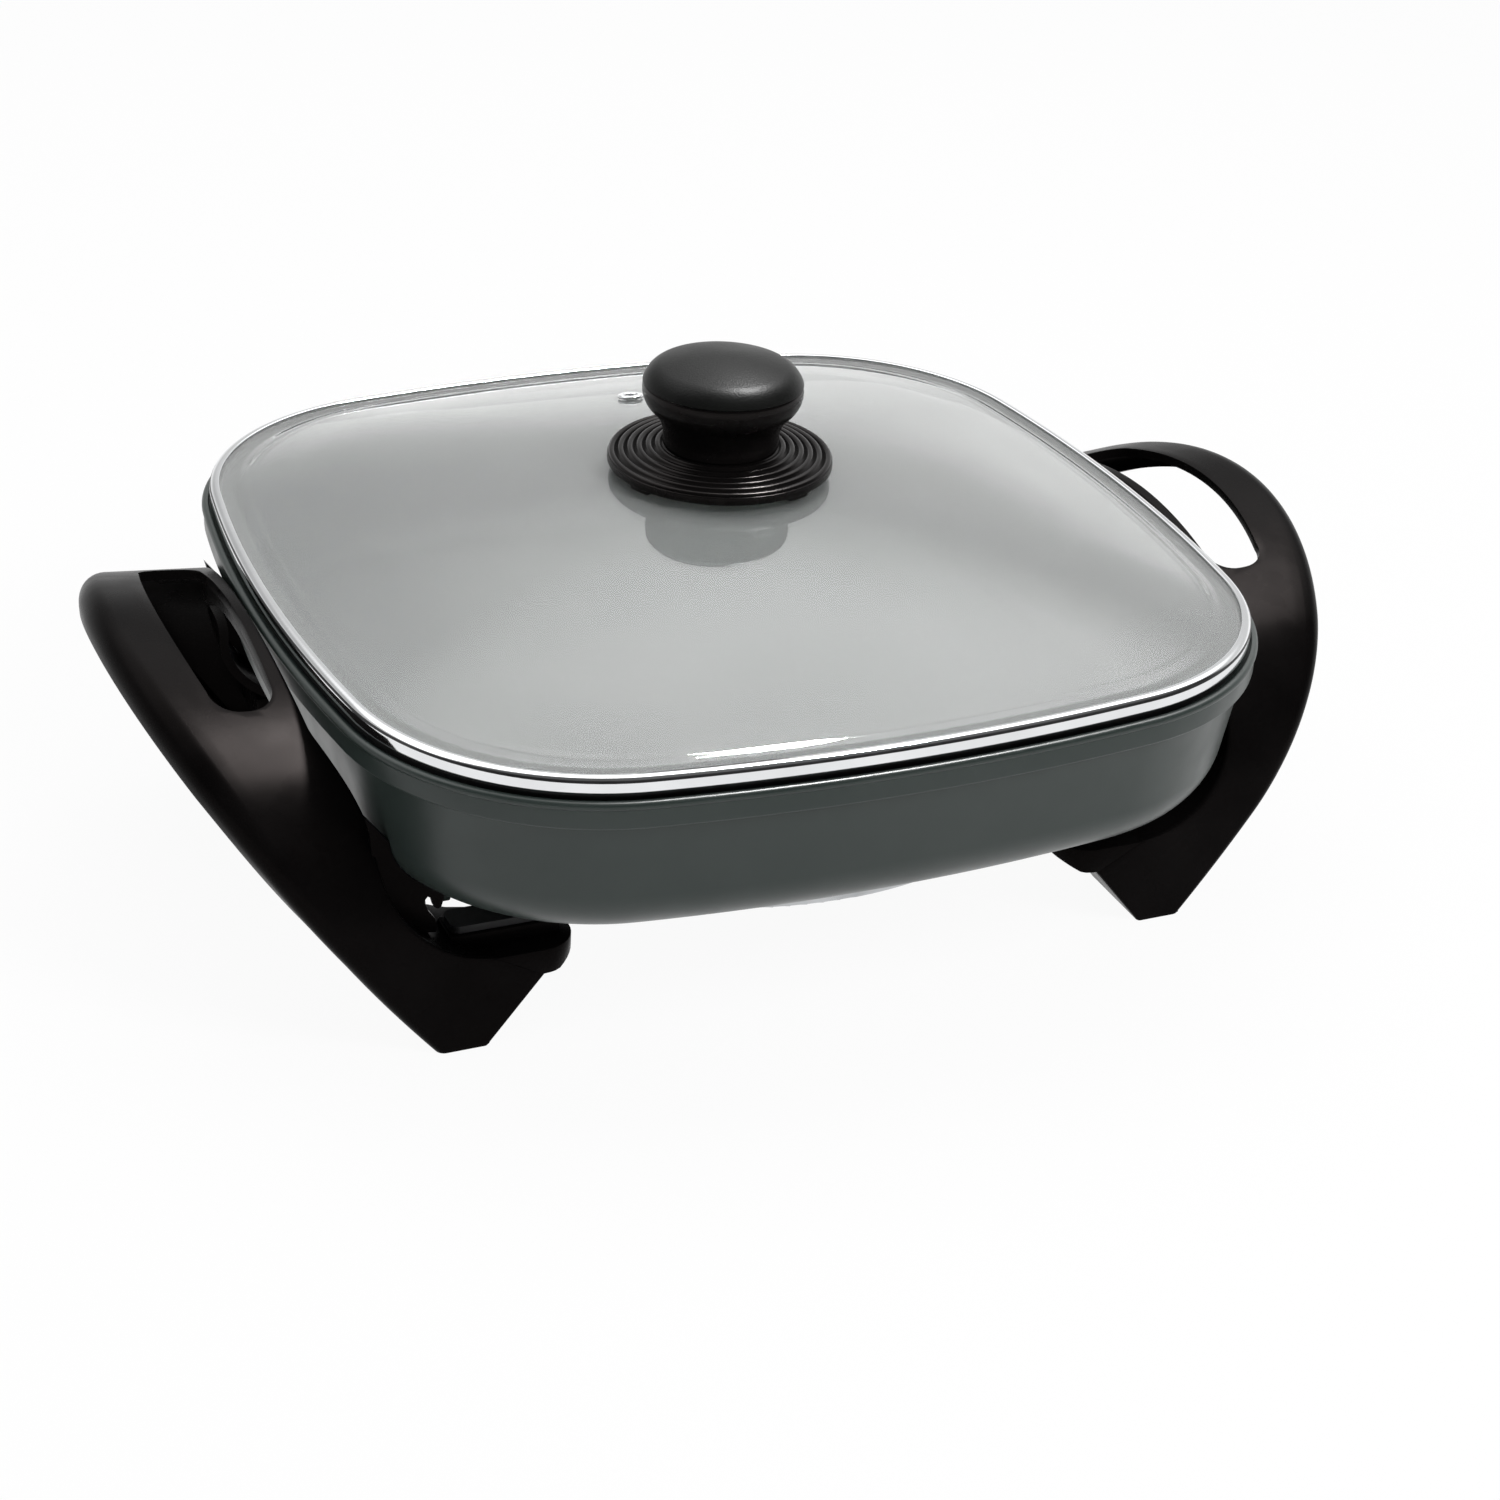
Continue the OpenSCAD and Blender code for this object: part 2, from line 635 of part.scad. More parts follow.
// Foot's closed bottom, as deep as the inner lip
module foot_sole() {
  rotate([90, 0, 0]) translate([0, 0, leg_half - inner_lip_depth])
    linear_extrude(inner_lip_depth - tab_set_back) polygon([
      [foot_edge(0), 0], [outer_edge(leg_at(0)), 0],
      [outer_edge(leg_at(foot_floor)), foot_floor], [foot_edge(foot_floor), foot_floor]
    ]);
}

module handle() {
  color(black_phenolic) difference() {
    union() {
      handle_shell();
      for (side = [0, 1]) mirror([0, side, 0]) {
        foot_sole();
        difference() {
          tab_block(0);
          tab_block(moulding_wall);
        }
        // pad under the steel plate, and the screw's post through the tab
        translate([plate_inner_x, -plate_front_y, tab_top_z - overlap])
          cube([plate_length, plate_front_y - plate_back_y, pad_height + overlap]);
        translate([leg_screw_x, -leg_screw_y, tab_under_z + overlap])
          cylinder(r = screw_post_radius, h = plate_z - tab_under_z - overlap);
      }
    }
    translate([0, 0, handle_top_z - 2 * grip_depth]) linear_extrude(3 * grip_depth) hand_hole_shape();
    for (y = [-1, 1]) translate([leg_screw_x, y * leg_screw_y, 0]) {
      cylinder(r = screw_recess_radius, h = screw_seat_z);
      cylinder(r = leg_screw_radius + seat, h = plate_z + overlap);
    }
  }
}

module handle_right() {
  handle();
}

module handle_left() {
  mirror([1, 0, 0]) handle();
}

// Steel plate between a tab's pad and the pan's boss
module leg_plate(x, y) {
  clear = 1;
  color(steel) mirror([x < 0 ? 1 : 0, 0, 0]) mirror([0, y < 0 ? 1 : 0, 0]) difference() {
    translate([plate_inner_x + clear, plate_back_y + clear, plate_z]) linear_extrude(plate_thickness)
      rounded_rectangle(plate_length - 2 * clear, plate_front_y - plate_back_y - 2 * clear, 3);
    translate([leg_screw_x, leg_screw_y, plate_z - overlap])
      cylinder(r = leg_screw_radius + 4 * fit, h = plate_thickness + 2 * overlap);
  }
}

module rounded_rectangle(width, length, radius) {
  translate([radius, 0]) square([width - 2 * radius, length]);
  translate([0, radius]) square([width, length - 2 * radius]);
  for (x = [radius, width - radius], y = [radius, length - radius])
    translate([x, y]) circle(radius, $fn = 32);
}

module leg_screws() {
  color(steel) for (x = [-1, 1], y = [-1, 1])
    translate([x * leg_screw_x, y * leg_screw_y, screw_seat_z - washer_thickness])
      screw(leg_screw_radius, leg_head_radius, pan_bottom_z + leg_screw_grip - screw_seat_z + washer_thickness);
}

module leg_washers() {
  color(steel) for (x = [-1, 1], y = [-1, 1])
    translate([x * leg_screw_x, y * leg_screw_y, screw_seat_z - washer_thickness]) difference() {
      cylinder(r = screw_recess_radius - 4 * fit, h = washer_thickness);
      translate([0, 0, -overlap]) cylinder(r = leg_screw_radius + fit, h = washer_thickness + 2 * overlap);
    }
}

// ---- Lid ----

rim_low_z = rim_z + lid_gap;
rim_high_z = rim_low_z + band_rim_height;
slot_low_z = rim_low_z + band_rim_steel;
slot_high_z = rim_high_z - band_rim_steel;
glass_edge_in = -band_rim_steel - 0.2;
glass_lip_z = (slot_low_z + slot_high_z + glass_thickness) / 2;
glass_top_z = rim_high_z + dome_height;
foot_in = -3.8;
foot_band = 2.6;

module lid_rim() {
  round_edge = 1.5;
  color(steel) sweep_round_outline() {
    difference() {
      translate([-band_rim_width, rim_low_z]) {
        square([band_rim_width - round_edge, band_rim_height]);
        translate([0, round_edge]) square([band_rim_width, band_rim_height - 2 * round_edge]);
        for (z = [round_edge, band_rim_height - round_edge])
          translate([band_rim_width - round_edge, z]) circle(round_edge, $fn = 32);
      }
      translate([-band_rim_width - overlap, slot_low_z])
        square([band_rim_width + overlap - band_rim_steel, slot_high_z - slot_low_z]);
    }
    // hem that stands on the pan's ledge
    translate([foot_in, ledge_z]) square([foot_band, rim_low_z + band_rim_steel / 2 - ledge_z]);
  }
}

// Height of the glass's upper face: dome, pressed shoulder, flat lip; "t" runs from 0 at the middle to 1
shoulder_in = 0.93;
lip_in = 0.965;
dome_edge_z = glass_lip_z + shoulder_height;
function glass_z(t) =
  t <= shoulder_in ? glass_top_z - (glass_top_z - dome_edge_z) * pow(t / shoulder_in, 2)
  : t >= lip_in ? glass_lip_z
  : glass_lip_z + shoulder_height * (1 + cos(180 * (t - shoulder_in) / (lip_in - shoulder_in))) / 2;

// Distance from the middle: round near the knob, the lid's own outline at the edge
function glass_r(t, a) =
  let (mean = lid_half * 1.05, edge = outline_reach(a, glass_edge_in), blend = min(1, t * t * 1.6))
  t * (mean + (edge - mean) * blend);

glass_steps = [0.06, 0.2, 0.34, 0.48, 0.6, 0.71, 0.81, 0.885, 0.93, 0.9416, 0.9533, 0.965, 1];

module lid_glass() {
  around = 64;
  rings = len(glass_steps);
  // a point of the face "drop" under the upper face
  function face(drop) = [for (t = glass_steps, i = [0:around - 1]) let (a = i * 360 / around)
    [glass_r(t, a) * cos(a), glass_r(t, a) * sin(a), glass_z(t) - drop]];
  points = concat(face(0), face(glass_thickness));
  low = rings * around;
  faces = concat(
    [[for (i = [around - 1:-1:0]) i]],
    [[for (i = [0:around - 1]) low + i]],
    [for (r = [0:rings - 2], i = [0:around - 1]) let (a = r * around + i, b = r * around + (i + 1) % around)
      each [[a, b, b + around], [a, b + around, a + around]]],
    [for (r = [0:rings - 2], i = [0:around - 1])
      let (a = low + r * around + i, b = low + r * around + (i + 1) % around)
      each [[a, b + around, b], [a, a + around, b + around]]],
    [for (i = [0:around - 1])
      let (a = (rings - 1) * around + i, b = (rings - 1) * around + (i + 1) % around)
      each [[a, b, b + low], [a, b + low, a + low]]]
  );
  color(smoke_glass) difference() {
    polyhedron(points, faces, convexity = 6);
    translate([0, 0, glass_top_z - 4 * glass_thickness])
      cylinder(r = lid_screw_radius + 0.8, h = 6 * glass_thickness, $fn = 48);
    at_vent() cylinder(r = vent_radius + vent_wall + seat, h = 4 * glass_thickness, center = true, $fn = 48);
  }
}

// The vent stands square to the glass
vent_wall = 0.6;
vent_share = 0.5 * vent_distance / glass_r(0.5, 90);
vent_step = 0.05;
vent_slope = atan((glass_z(vent_share - vent_step) - glass_z(vent_share + vent_step))
  / (glass_r(vent_share + vent_step, 90) - glass_r(vent_share - vent_step, 90)));
module at_vent() {
  translate([0, vent_distance, glass_z(vent_share)]) rotate([-vent_slope, 0, 0]) children();
}

module vent_eyelet() {
  flange = 2;
  flange_height = 1.2;
  below = 1.6;
  color(steel) at_vent() difference() {
    union() {
      translate([0, 0, -glass_thickness - below])
        cylinder(r = vent_radius + vent_wall, h = glass_thickness + below + seat + flange_height, $fn = 48);
      translate([0, 0, seat]) cylinder(r = vent_radius + vent_wall + flange, h = flange_height, $fn = 48);
    }
    cylinder(r = vent_radius, h = 4 * glass_thickness, center = true, $fn = 48);
  }
}

// ---- Knob ----

gasket_thickness = 1.5;
glass_mid_z = glass_z(glass_steps[0]);
skirt_base_z = glass_mid_z + gasket_thickness;
skirt_top_z = glass_top_z + 5.9;
ridge_rise = 0.57;
waist_z = skirt_top_z + ridge_count * ridge_rise;
knob_top_z = glass_top_z + knob_height;
cap_dome_z = knob_top_z - cap_dome_radius;
cap_shoulder_x = cap_radius - cap_shoulder;
cap_shoulder_z = cap_dome_z + sqrt(pow(cap_dome_radius - cap_shoulder, 2) - pow(cap_shoulder_x, 2));
groove_z = cap_shoulder_z + 2.4;
hub_radius = 11;
grip_wall = 3;
grip_base_z = waist_z - ridge_rise;
insert_radius = 4;
insert_length = 12;

module knob_gasket() {
  color(silicone) translate([0, 0, glass_mid_z]) difference() {
    cylinder(r = hub_radius, h = gasket_thickness);
    translate([0, 0, -overlap]) cylinder(r = lid_screw_radius + 0.4, h = gasket_thickness + 2 * overlap);
  }
}

module knob_skirt() {
  ridge_pitch = (skirt_radius - waist_radius) / ridge_count;
  ridge_radius = 0.9;
  plate = 2.4;
  edge_wall = 2;
  lug_width = 8;
  lug_drop = 1.2;
  color(black_phenolic) difference() {
    union() {
      rotate_extrude($fn = 128) {
        // stepped top: one rounded ridge after another, each a little higher than the last
        for (i = [0:ridge_count - 1]) {
          r = skirt_radius - (i + 0.5) * ridge_pitch;
          translate([r, skirt_top_z + i * ridge_rise - ridge_radius]) circle(ridge_radius, $fn = 24);
          translate([r - ridge_pitch / 2 - overlap, skirt_top_z + i * ridge_rise - plate])
            square([ridge_pitch + overlap, plate - ridge_radius]);
        }
        translate([hub_radius - overlap, grip_base_z - plate])
          square([waist_radius - hub_radius + 2 * overlap, plate]);
        translate([skirt_radius - edge_wall, skirt_top_z - skirt_edge])
          square([edge_wall, skirt_edge - ridge_radius]);
        translate([0, skirt_base_z]) square([hub_radius, grip_base_z - skirt_base_z]);
      }
      // lugs under the edge that keep the skirt off the glass
      for (a = [0:3]) rotate(22 + 90 * a)
        translate([skirt_radius - edge_wall - 1.4, -lug_width / 2, skirt_top_z - skirt_edge - lug_drop])
          cube([edge_wall + 1, lug_width, lug_drop + 2.4]);
    }
    translate([0, 0, skirt_base_z - overlap]) cylinder(r = lid_screw_radius + 0.4, h = waist_z);
  }
}

// Grip: waist, flare and the lower half of the round shoulder, hollow inside round the screw's boss
module knob_grip() {
  flare = 13;
  groove_step = 0.4;
  hollow = 8;
  flare_x = waist_radius + flare;
  shoulder_x = cap_shoulder_x - groove_step;
  reach = flare + cap_shoulder - 0.05;   // the two arcs run into each other
  flare_z = cap_shoulder_z - sqrt(pow(reach, 2) - pow(flare_x - shoulder_x, 2));
  meet_z = cap_shoulder_z - cap_shoulder * (cap_shoulder_z - flare_z) / reach;
  color(black_phenolic) difference() {
    rotate_extrude($fn = 128) difference() {
      union() {
        translate([0, grip_base_z]) square([waist_radius, groove_z - grip_base_z]);
        // flare out to the shoulder: a block less a round hollow
        difference() {
          translate([0, flare_z]) square([cap_radius, meet_z - flare_z]);
          translate([flare_x, flare_z]) circle(flare, $fn = 96);
        }
        intersection() {
          translate([shoulder_x, cap_shoulder_z]) circle(cap_shoulder, $fn = 96);
          translate([0, meet_z - overlap]) square([cap_radius, groove_z - meet_z + overlap]);
        }
      }
      translate([waist_radius - grip_wall - hollow, grip_base_z + grip_wall])
        square([hollow, groove_z - grip_base_z]);
    }
    translate([0, 0, grip_base_z - overlap]) cylinder(r = insert_radius + fit, h = insert_length + 2 * overlap);
  }
}

module knob_cap() {
  color(black_phenolic) rotate_extrude($fn = 128) difference() {
    union() {
      // flat dome that runs smoothly into the round shoulder
      intersection() {
        translate([0, cap_dome_z]) circle(cap_dome_radius, $fn = 256);
        polygon([
          [0, cap_shoulder_z], [cap_shoulder_x, cap_shoulder_z],
          [2 * cap_shoulder_x, 2 * cap_shoulder_z - cap_dome_z], [0, 2 * cap_shoulder_z - cap_dome_z]
        ]);
      }
      translate([cap_shoulder_x, cap_shoulder_z]) circle(cap_shoulder, $fn = 96);
    }
    translate([-big, 0]) square([big, big]);
    translate([0, groove_z - big]) square([big, big]);
    translate([0, groove_z - overlap]) square([waist_radius - grip_wall, overlap + grip_wall]);
  }
}

module knob_insert() {
  color(brass) translate([0, 0, grip_base_z]) difference() {
    cylinder(r = insert_radius, h = insert_length);
    translate([0, 0, -overlap]) cylinder(r = lid_screw_radius + fit, h = insert_length + 2 * overlap);
  }
}

washer_height = 1;
lid_screw_z = glass_mid_z - glass_thickness - washer_height;

module knob_washer() {
  color(steel) translate([0, 0, lid_screw_z]) difference() {
    cylinder(r = 2 * lid_head_radius, h = washer_height);
    translate([0, 0, -overlap]) cylinder(r = lid_screw_radius + fit, h = washer_height + 2 * overlap);
  }
}

module knob_screw() {
  tip_room = 2;
  color(steel) translate([0, 0, lid_screw_z])
    screw(lid_screw_radius, lid_head_radius, grip_base_z + insert_length - tip_room - lid_screw_z);
}

pan_body();
heater_ring();
heating_element();
terminal_pins();
terminal_insulators();
thermostat_sleeve();
probe_guard();
guard_screws();
handle_right();
handle_left();
leg_plate(1, -1);  // plate_front_right
leg_plate(1, 1);  // plate_back_right
leg_plate(-1, -1);  // plate_front_left
leg_plate(-1, 1);  // plate_back_left
leg_screws();
leg_washers();
lid_glass();
lid_rim();
vent_eyelet();
knob_gasket();
knob_skirt();
knob_grip();
knob_cap();
knob_insert();
knob_washer();
knob_screw();
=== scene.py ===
from math import asin, atan, atan2, cos, degrees, pi, radians, sin, sqrt, tan

import bmesh
import bpy
from mathutils import Matrix, Vector


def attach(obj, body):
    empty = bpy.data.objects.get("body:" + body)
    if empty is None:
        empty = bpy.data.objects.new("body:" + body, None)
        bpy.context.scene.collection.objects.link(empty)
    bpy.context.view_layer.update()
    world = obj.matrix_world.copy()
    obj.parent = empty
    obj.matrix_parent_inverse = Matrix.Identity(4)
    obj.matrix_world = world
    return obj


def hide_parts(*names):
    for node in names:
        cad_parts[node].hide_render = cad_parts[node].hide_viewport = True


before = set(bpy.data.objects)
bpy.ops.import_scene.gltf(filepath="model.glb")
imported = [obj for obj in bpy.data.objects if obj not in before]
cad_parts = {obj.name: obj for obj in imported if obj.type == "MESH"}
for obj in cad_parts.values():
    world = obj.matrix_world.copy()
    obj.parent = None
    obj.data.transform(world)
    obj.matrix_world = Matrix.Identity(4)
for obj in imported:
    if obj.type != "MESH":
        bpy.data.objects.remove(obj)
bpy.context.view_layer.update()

# ---- Camera ----
# A long lens about a metre away, left of the front and looking down on the lid. It aims a little
# beside the middle of the pan's rim, and is rolled by a few degrees.
azimuth, elevation, roll = radians(-23.690899), radians(24.394515), radians(3.126580)
camera_distance, aim_right, aim_up = 1.0342356, 0.0148187, -0.0677218
rim_middle = Vector((0, 0, 0.108))

outwards = Vector((sin(azimuth) * cos(elevation), -cos(azimuth) * cos(elevation), sin(elevation)))
sideways = Vector((cos(azimuth), sin(azimuth), 0))
aim = sideways * aim_right + outwards.cross(sideways) * aim_up
back = (outwards * camera_distance - aim).normalized()
level = Vector((0, 0, 1)).cross(back).normalized()
upright = back.cross(level)
right = level * cos(roll) + upright * sin(roll)
up = upright * cos(roll) - level * sin(roll)

camera_data = bpy.data.cameras.new("camera")
camera_data.lens = 73.644
camera_data.sensor_width = 36
camera_data.clip_start, camera_data.clip_end = 0.05, 50
camera = bpy.data.objects.new("camera", camera_data)
bpy.context.scene.collection.objects.link(camera)
camera.matrix_world = Matrix((right, up, back)).transposed().to_4x4()
camera.location = rim_middle + outwards * camera_distance
bpy.context.scene.camera = camera
bpy.context.scene.view_settings.view_transform = "Standard"

# ---- Studio ----
# White paper floor and white surroundings, with a large overhead light and three softboxes, so that
# the floor keeps a soft shadow. Gloss shows a room of its own instead: a bright ceiling, plain
# walls, an unlit front and one small bright lamp.


def seen_directly(nodes, links, kinds=("Is Glossy Ray", "Is Transmission Ray")):
    """1 for the camera's rays and the kinds named, 0 for the light that falls on things."""
    path = nodes.new("ShaderNodeLightPath")
    seen = path.outputs["Is Camera Ray"]
    for kind in kinds:
        either = nodes.new("ShaderNodeMath")
        either.operation = "MAXIMUM"
        links.new(seen, either.inputs[0])
        links.new(path.outputs[kind], either.inputs[1])
        seen = either.outputs[0]
    return seen


world = bpy.data.worlds.new("studio")
world.use_nodes = True
bpy.context.scene.world = world
sky_nodes, sky_links = world.node_tree.nodes, world.node_tree.links
sky_nodes.clear()
white, fill, room, choose, choose_room, path, out = (sky_nodes.new("ShaderNode" + kind) for kind in (
    "Background", "Background", "Background", "MixShader", "MixShader", "LightPath", "OutputWorld"))
white.inputs["Color"].default_value = (1, 1, 1, 1)
fill.inputs["Color"].default_value = (0.5, 0.5, 0.51, 1)
fill.inputs["Strength"].default_value = 0.7
room.inputs["Color"].default_value = (1, 1, 1, 1)
direction = sky_nodes.new("ShaderNodeSeparateXYZ")
sky_links.new(sky_nodes.new("ShaderNodeTexCoord").outputs["Generated"], direction.inputs[0])


def ramp(source, low, high, value_low, value_high):
    """A soft step from one value to another as the source passes from low to high."""
    step = sky_nodes.new("ShaderNodeMapRange")
    step.interpolation_type = "SMOOTHSTEP"
    for socket, value in (("From Min", low), ("From Max", high),
                          ("To Min", value_low), ("To Max", value_high)):
        step.inputs[socket].default_value = value
    sky_links.new(source, step.inputs["Value"])
    return step.outputs[0]


def combine(operation, a, b):
    """The sum or product of two values."""
    node = sky_nodes.new("ShaderNodeMath")
    node.operation = operation
    sky_links.new(a, node.inputs[0])
    sky_links.new(b, node.inputs[1])
    return node.outputs[0]


ceiling = ramp(direction.outputs["Z"], 0.44, 0.80, 0.0, 3.1)
walls = ramp(direction.outputs["Z"], 0.08, 0.32, 1.2, 0.75)
unlit_front = ramp(direction.outputs["Y"], -0.1, 0.2, 0.04, 1.0)
dimmer_left = ramp(direction.outputs["X"], -0.1, 0.35, 0.72, 1.0)
lit = combine("MULTIPLY", unlit_front, dimmer_left)
sky_links.new(combine("MULTIPLY", combine("ADD", ceiling, walls), lit), room.inputs["Strength"])
sky_links.new(seen_directly(sky_nodes, sky_links, ("Is Transmission Ray",)), choose.inputs[0])
sky_links.new(path.outputs["Is Glossy Ray"], choose_room.inputs[0])
sky_links.new(fill.outputs[0], choose_room.inputs[1])
sky_links.new(room.outputs[0], choose_room.inputs[2])
sky_links.new(choose_room.outputs[0], choose.inputs[1])
sky_links.new(white.outputs[0], choose.inputs[2])
sky_links.new(choose.outputs[0], out.inputs["Surface"])

floor_bm = bmesh.new()
bmesh.ops.create_grid(floor_bm, x_segments=8, y_segments=8, size=20)
floor_mesh = bpy.data.meshes.new("floor")
floor_bm.to_mesh(floor_mesh)
floor_bm.free()
floor = bpy.data.objects.new("floor", floor_mesh)
bpy.context.scene.collection.objects.link(floor)

paper = bpy.data.materials.new("white_paper")
paper.use_nodes = True
nodes, links = paper.node_tree.nodes, paper.node_tree.links
nodes.clear()
matt, glow, choose, share, out = (nodes.new(kind) for kind in (
    "ShaderNodeBsdfDiffuse", "ShaderNodeEmission", "ShaderNodeMixShader", "ShaderNodeMath",
    "ShaderNodeOutputMaterial"))
matt.inputs["Color"].default_value = (0.8, 0.8, 0.8, 1)
glow.inputs["Color"].default_value = (1, 1, 1, 1)
share.operation = "MULTIPLY"
share.inputs[1].default_value = 0.94
links.new(seen_directly(nodes, links), share.inputs[0])
links.new(share.outputs[0], choose.inputs[0])
links.new(matt.outputs[0], choose.inputs[1])
links.new(glow.outputs[0], choose.inputs[2])
links.new(choose.outputs[0], out.inputs["Surface"])
floor_mesh.materials.append(paper)


def softbox(name, place, aimed_at, width, depth, watts):
    """A rectangular lamp that faces a point."""
    light = bpy.data.lights.new(name, "AREA")
    light.shape = "RECTANGLE"
    light.size, light.size_y, light.energy = width, depth, watts
    lamp = bpy.data.objects.new(name, light)
    bpy.context.scene.collection.objects.link(lamp)
    lamp.location = place
    lamp.rotation_mode = "QUATERNION"
    lamp.rotation_quaternion = (Vector(place) - Vector(aimed_at)).to_track_quat("Z", "Y")
    lamp.visible_transmission = False
    return lamp


overhead = softbox("softbox_top", (0.1, 0.5, 1.6), (0, 0, 0.1), 1.8, 1.2, 17)
overhead.visible_glossy = False
for name, place, watts in (
        ("softbox_front", (0.55, -1.05, 1.15), 13),
        ("softbox_left", (-1.45, -0.35, 0.75), 2),
        ("softbox_right", (1.5, -0.1, 0.7), 2)):
    softbox(name, place, (0, 0, 0.1), 0.5, 0.6, watts).visible_glossy = False
softbox("softbox_high", (0.52, 0.14, 1.5), (0, 0, 0.1), 0.5, 0.14, 66).visible_diffuse = False

# ---- Pan ----
# Cast aluminium body with a dark grey-green non-stick coat, sprayed on and baked. The lip, the
# plain band and the step under it run all the way round; bosses and ribs stand on the underside.

# The lid's outline, which the pan follows: four long side arcs, with a tight arc at each corner
lid_half, corner_radius, side_radius = 157, 81, 617.75
side_centre = side_radius - lid_half
corner_centre = (sqrt(2 * (side_radius - corner_radius) ** 2 - side_centre ** 2) - side_centre) / 2
side_turn = atan2(corner_centre, corner_centre + side_centre)
corner_turn = pi / 2 - 2 * side_turn


def arc(across, height, radius, start, end, steps):
    """Points of an arc in a section, with its angles in degrees from the +across direction."""
    turns = [radians(start + (end - start) * i / steps) for i in range(steps + 1)]
    return [(across + radius * cos(a), height + radius * sin(a)) for a in turns]


def chain(bm, points, closed=False):
    """A line of vertices and edges through points in space."""
    verts = [bm.verts.new(p) for p in points]
    pairs = list(zip(verts, verts[1:])) + ([(verts[-1], verts[0])] if closed else [])
    return verts + [bm.edges.new(pair) for pair in pairs]


def sweep_round_outline(bm, section, closed=False):
    """Sweeps a section, as (distance out from the lid's outline, height), round the whole outline."""
    side_steps, corner_steps = 14, 28
    moving = chain(bm, [(lid_half + out, 0, z) for out, z in section], closed)
    for quarter in range(4):
        turned = Matrix.Rotation(quarter * pi / 2, 3, "Z")
        for centre, angle, steps in (
                ((-side_centre, 0, 0), side_turn, side_steps),
                ((corner_centre, corner_centre, 0), corner_turn, corner_steps),
                ((0, -side_centre, 0), side_turn, side_steps)):
            moving = bmesh.ops.spin(
                bm, geom=moving, cent=turned @ Vector(centre), axis=(0, 0, 1), dvec=(0, 0, 0),
                angle=angle, steps=steps, use_merge=False, use_normal_flip=False,
                use_duplicate=False)["geom_last"]
    bmesh.ops.remove_doubles(bm, verts=bm.verts, dist=0.002)


def close_up(bm):
    """Fills the open loops, and turns every face outwards."""
    bmesh.ops.holes_fill(bm, edges=[e for e in bm.edges if e.is_boundary], sides=0)
    bmesh.ops.recalc_face_normals(bm, faces=bm.faces)


def block(bm, low, high, rounding=0.0):
    """A closed box between two corners, with its edges rounded."""
    low, high = Vector(low), Vector(high)
    place = Matrix.Translation((low + high) / 2) @ Matrix.Diagonal((*(high - low), 1))
    verts = bmesh.ops.create_cube(bm, size=1, matrix=place)["verts"]
    if rounding:
        bmesh.ops.bevel(bm, geom=list({e for v in verts for e in v.link_edges}), offset=rounding,
                        segments=2, profile=0.5, affect="EDGES", material=-1)


def drum(bm, centre, radius, low, high, rounding=0.0):
    """A closed upright cylinder, with its two rims rounded."""
    place = Matrix.Translation((centre[0], centre[1], (low + high) / 2))
    verts = bmesh.ops.create_cone(bm, cap_ends=True, segments=48, radius1=radius,
                                  radius2=radius, depth=high - low, matrix=place)["verts"]
    if rounding:
        rims = [e for e in {e for v in verts for e in v.link_edges}
                if abs(e.verts[0].co.z - e.verts[1].co.z) < 1e-6]
        bmesh.ops.bevel(bm, geom=rims, offset=rounding, segments=2, profile=0.5, affect="EDGES",
                        material=-1)


MM = 0.001


def new_piece(name, bm, material, sharp=35):
    """Turns a bmesh in millimetres into a finished object in metres."""
    bmesh.ops.scale(bm, verts=bm.verts, vec=(MM, MM, MM))
    for face in bm.faces:
        face.smooth = True
    for edge in bm.edges:
        edge.smooth = len(edge.link_faces) != 2 or edge.calc_face_angle(0) < radians(sharp)
    mesh = bpy.data.meshes.new(name)
    bm.to_mesh(mesh)
    bm.free()
    mesh.materials.append(material)
    piece = bpy.data.objects.new(name, mesh)
    bpy.context.scene.collection.objects.link(piece)
    return piece


def dress(node_name, material):
    """Gives a carried piece its finish."""
    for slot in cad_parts[node_name].material_slots:
        slot.material = material


def new_group(name, inputs, outputs):
    """An empty shader group with the named sockets."""
    kinds = {"v": "NodeSocketVector", "c": "NodeSocketColor", "f": "NodeSocketFloat"}
    group = bpy.data.node_groups.new(name, "ShaderNodeTree")
    for direction, sockets in (("INPUT", inputs), ("OUTPUT", outputs)):
        for socket, kind in sockets:
            group.interface.new_socket(socket, in_out=direction, socket_type=kinds[kind])
    given = group.nodes.new("NodeGroupInput").outputs
    made = group.nodes.new("NodeGroupOutput").inputs
    return group, given, made


# Cloudy variation: a colour that drifts between two shades
cloudy, given, made = new_group(
    "cloudy_shade", (("Vector", "v"), ("Scale", "f"), ("Dark", "c"), ("Light", "c")), (("Colour", "c"),))
noise = cloudy.nodes.new("ShaderNodeTexNoise")
noise.inputs["Detail"].default_value = 4
spread = cloudy.nodes.new("ShaderNodeMapRange")
spread.inputs["From Min"].default_value, spread.inputs["From Max"].default_value = 0.3, 0.7
blend = cloudy.nodes.new("ShaderNodeMix")
blend.data_type = "RGBA"
cloudy.links.new(given["Vector"], noise.inputs["Vector"])
cloudy.links.new(given["Scale"], noise.inputs["Scale"])
cloudy.links.new(noise.outputs["Fac"], spread.inputs["Value"])
cloudy.links.new(spread.outputs[0], blend.inputs[0])
cloudy.links.new(given["Dark"], blend.inputs[6])
cloudy.links.new(given["Light"], blend.inputs[7])
cloudy.links.new(blend.outputs[2], made["Colour"])

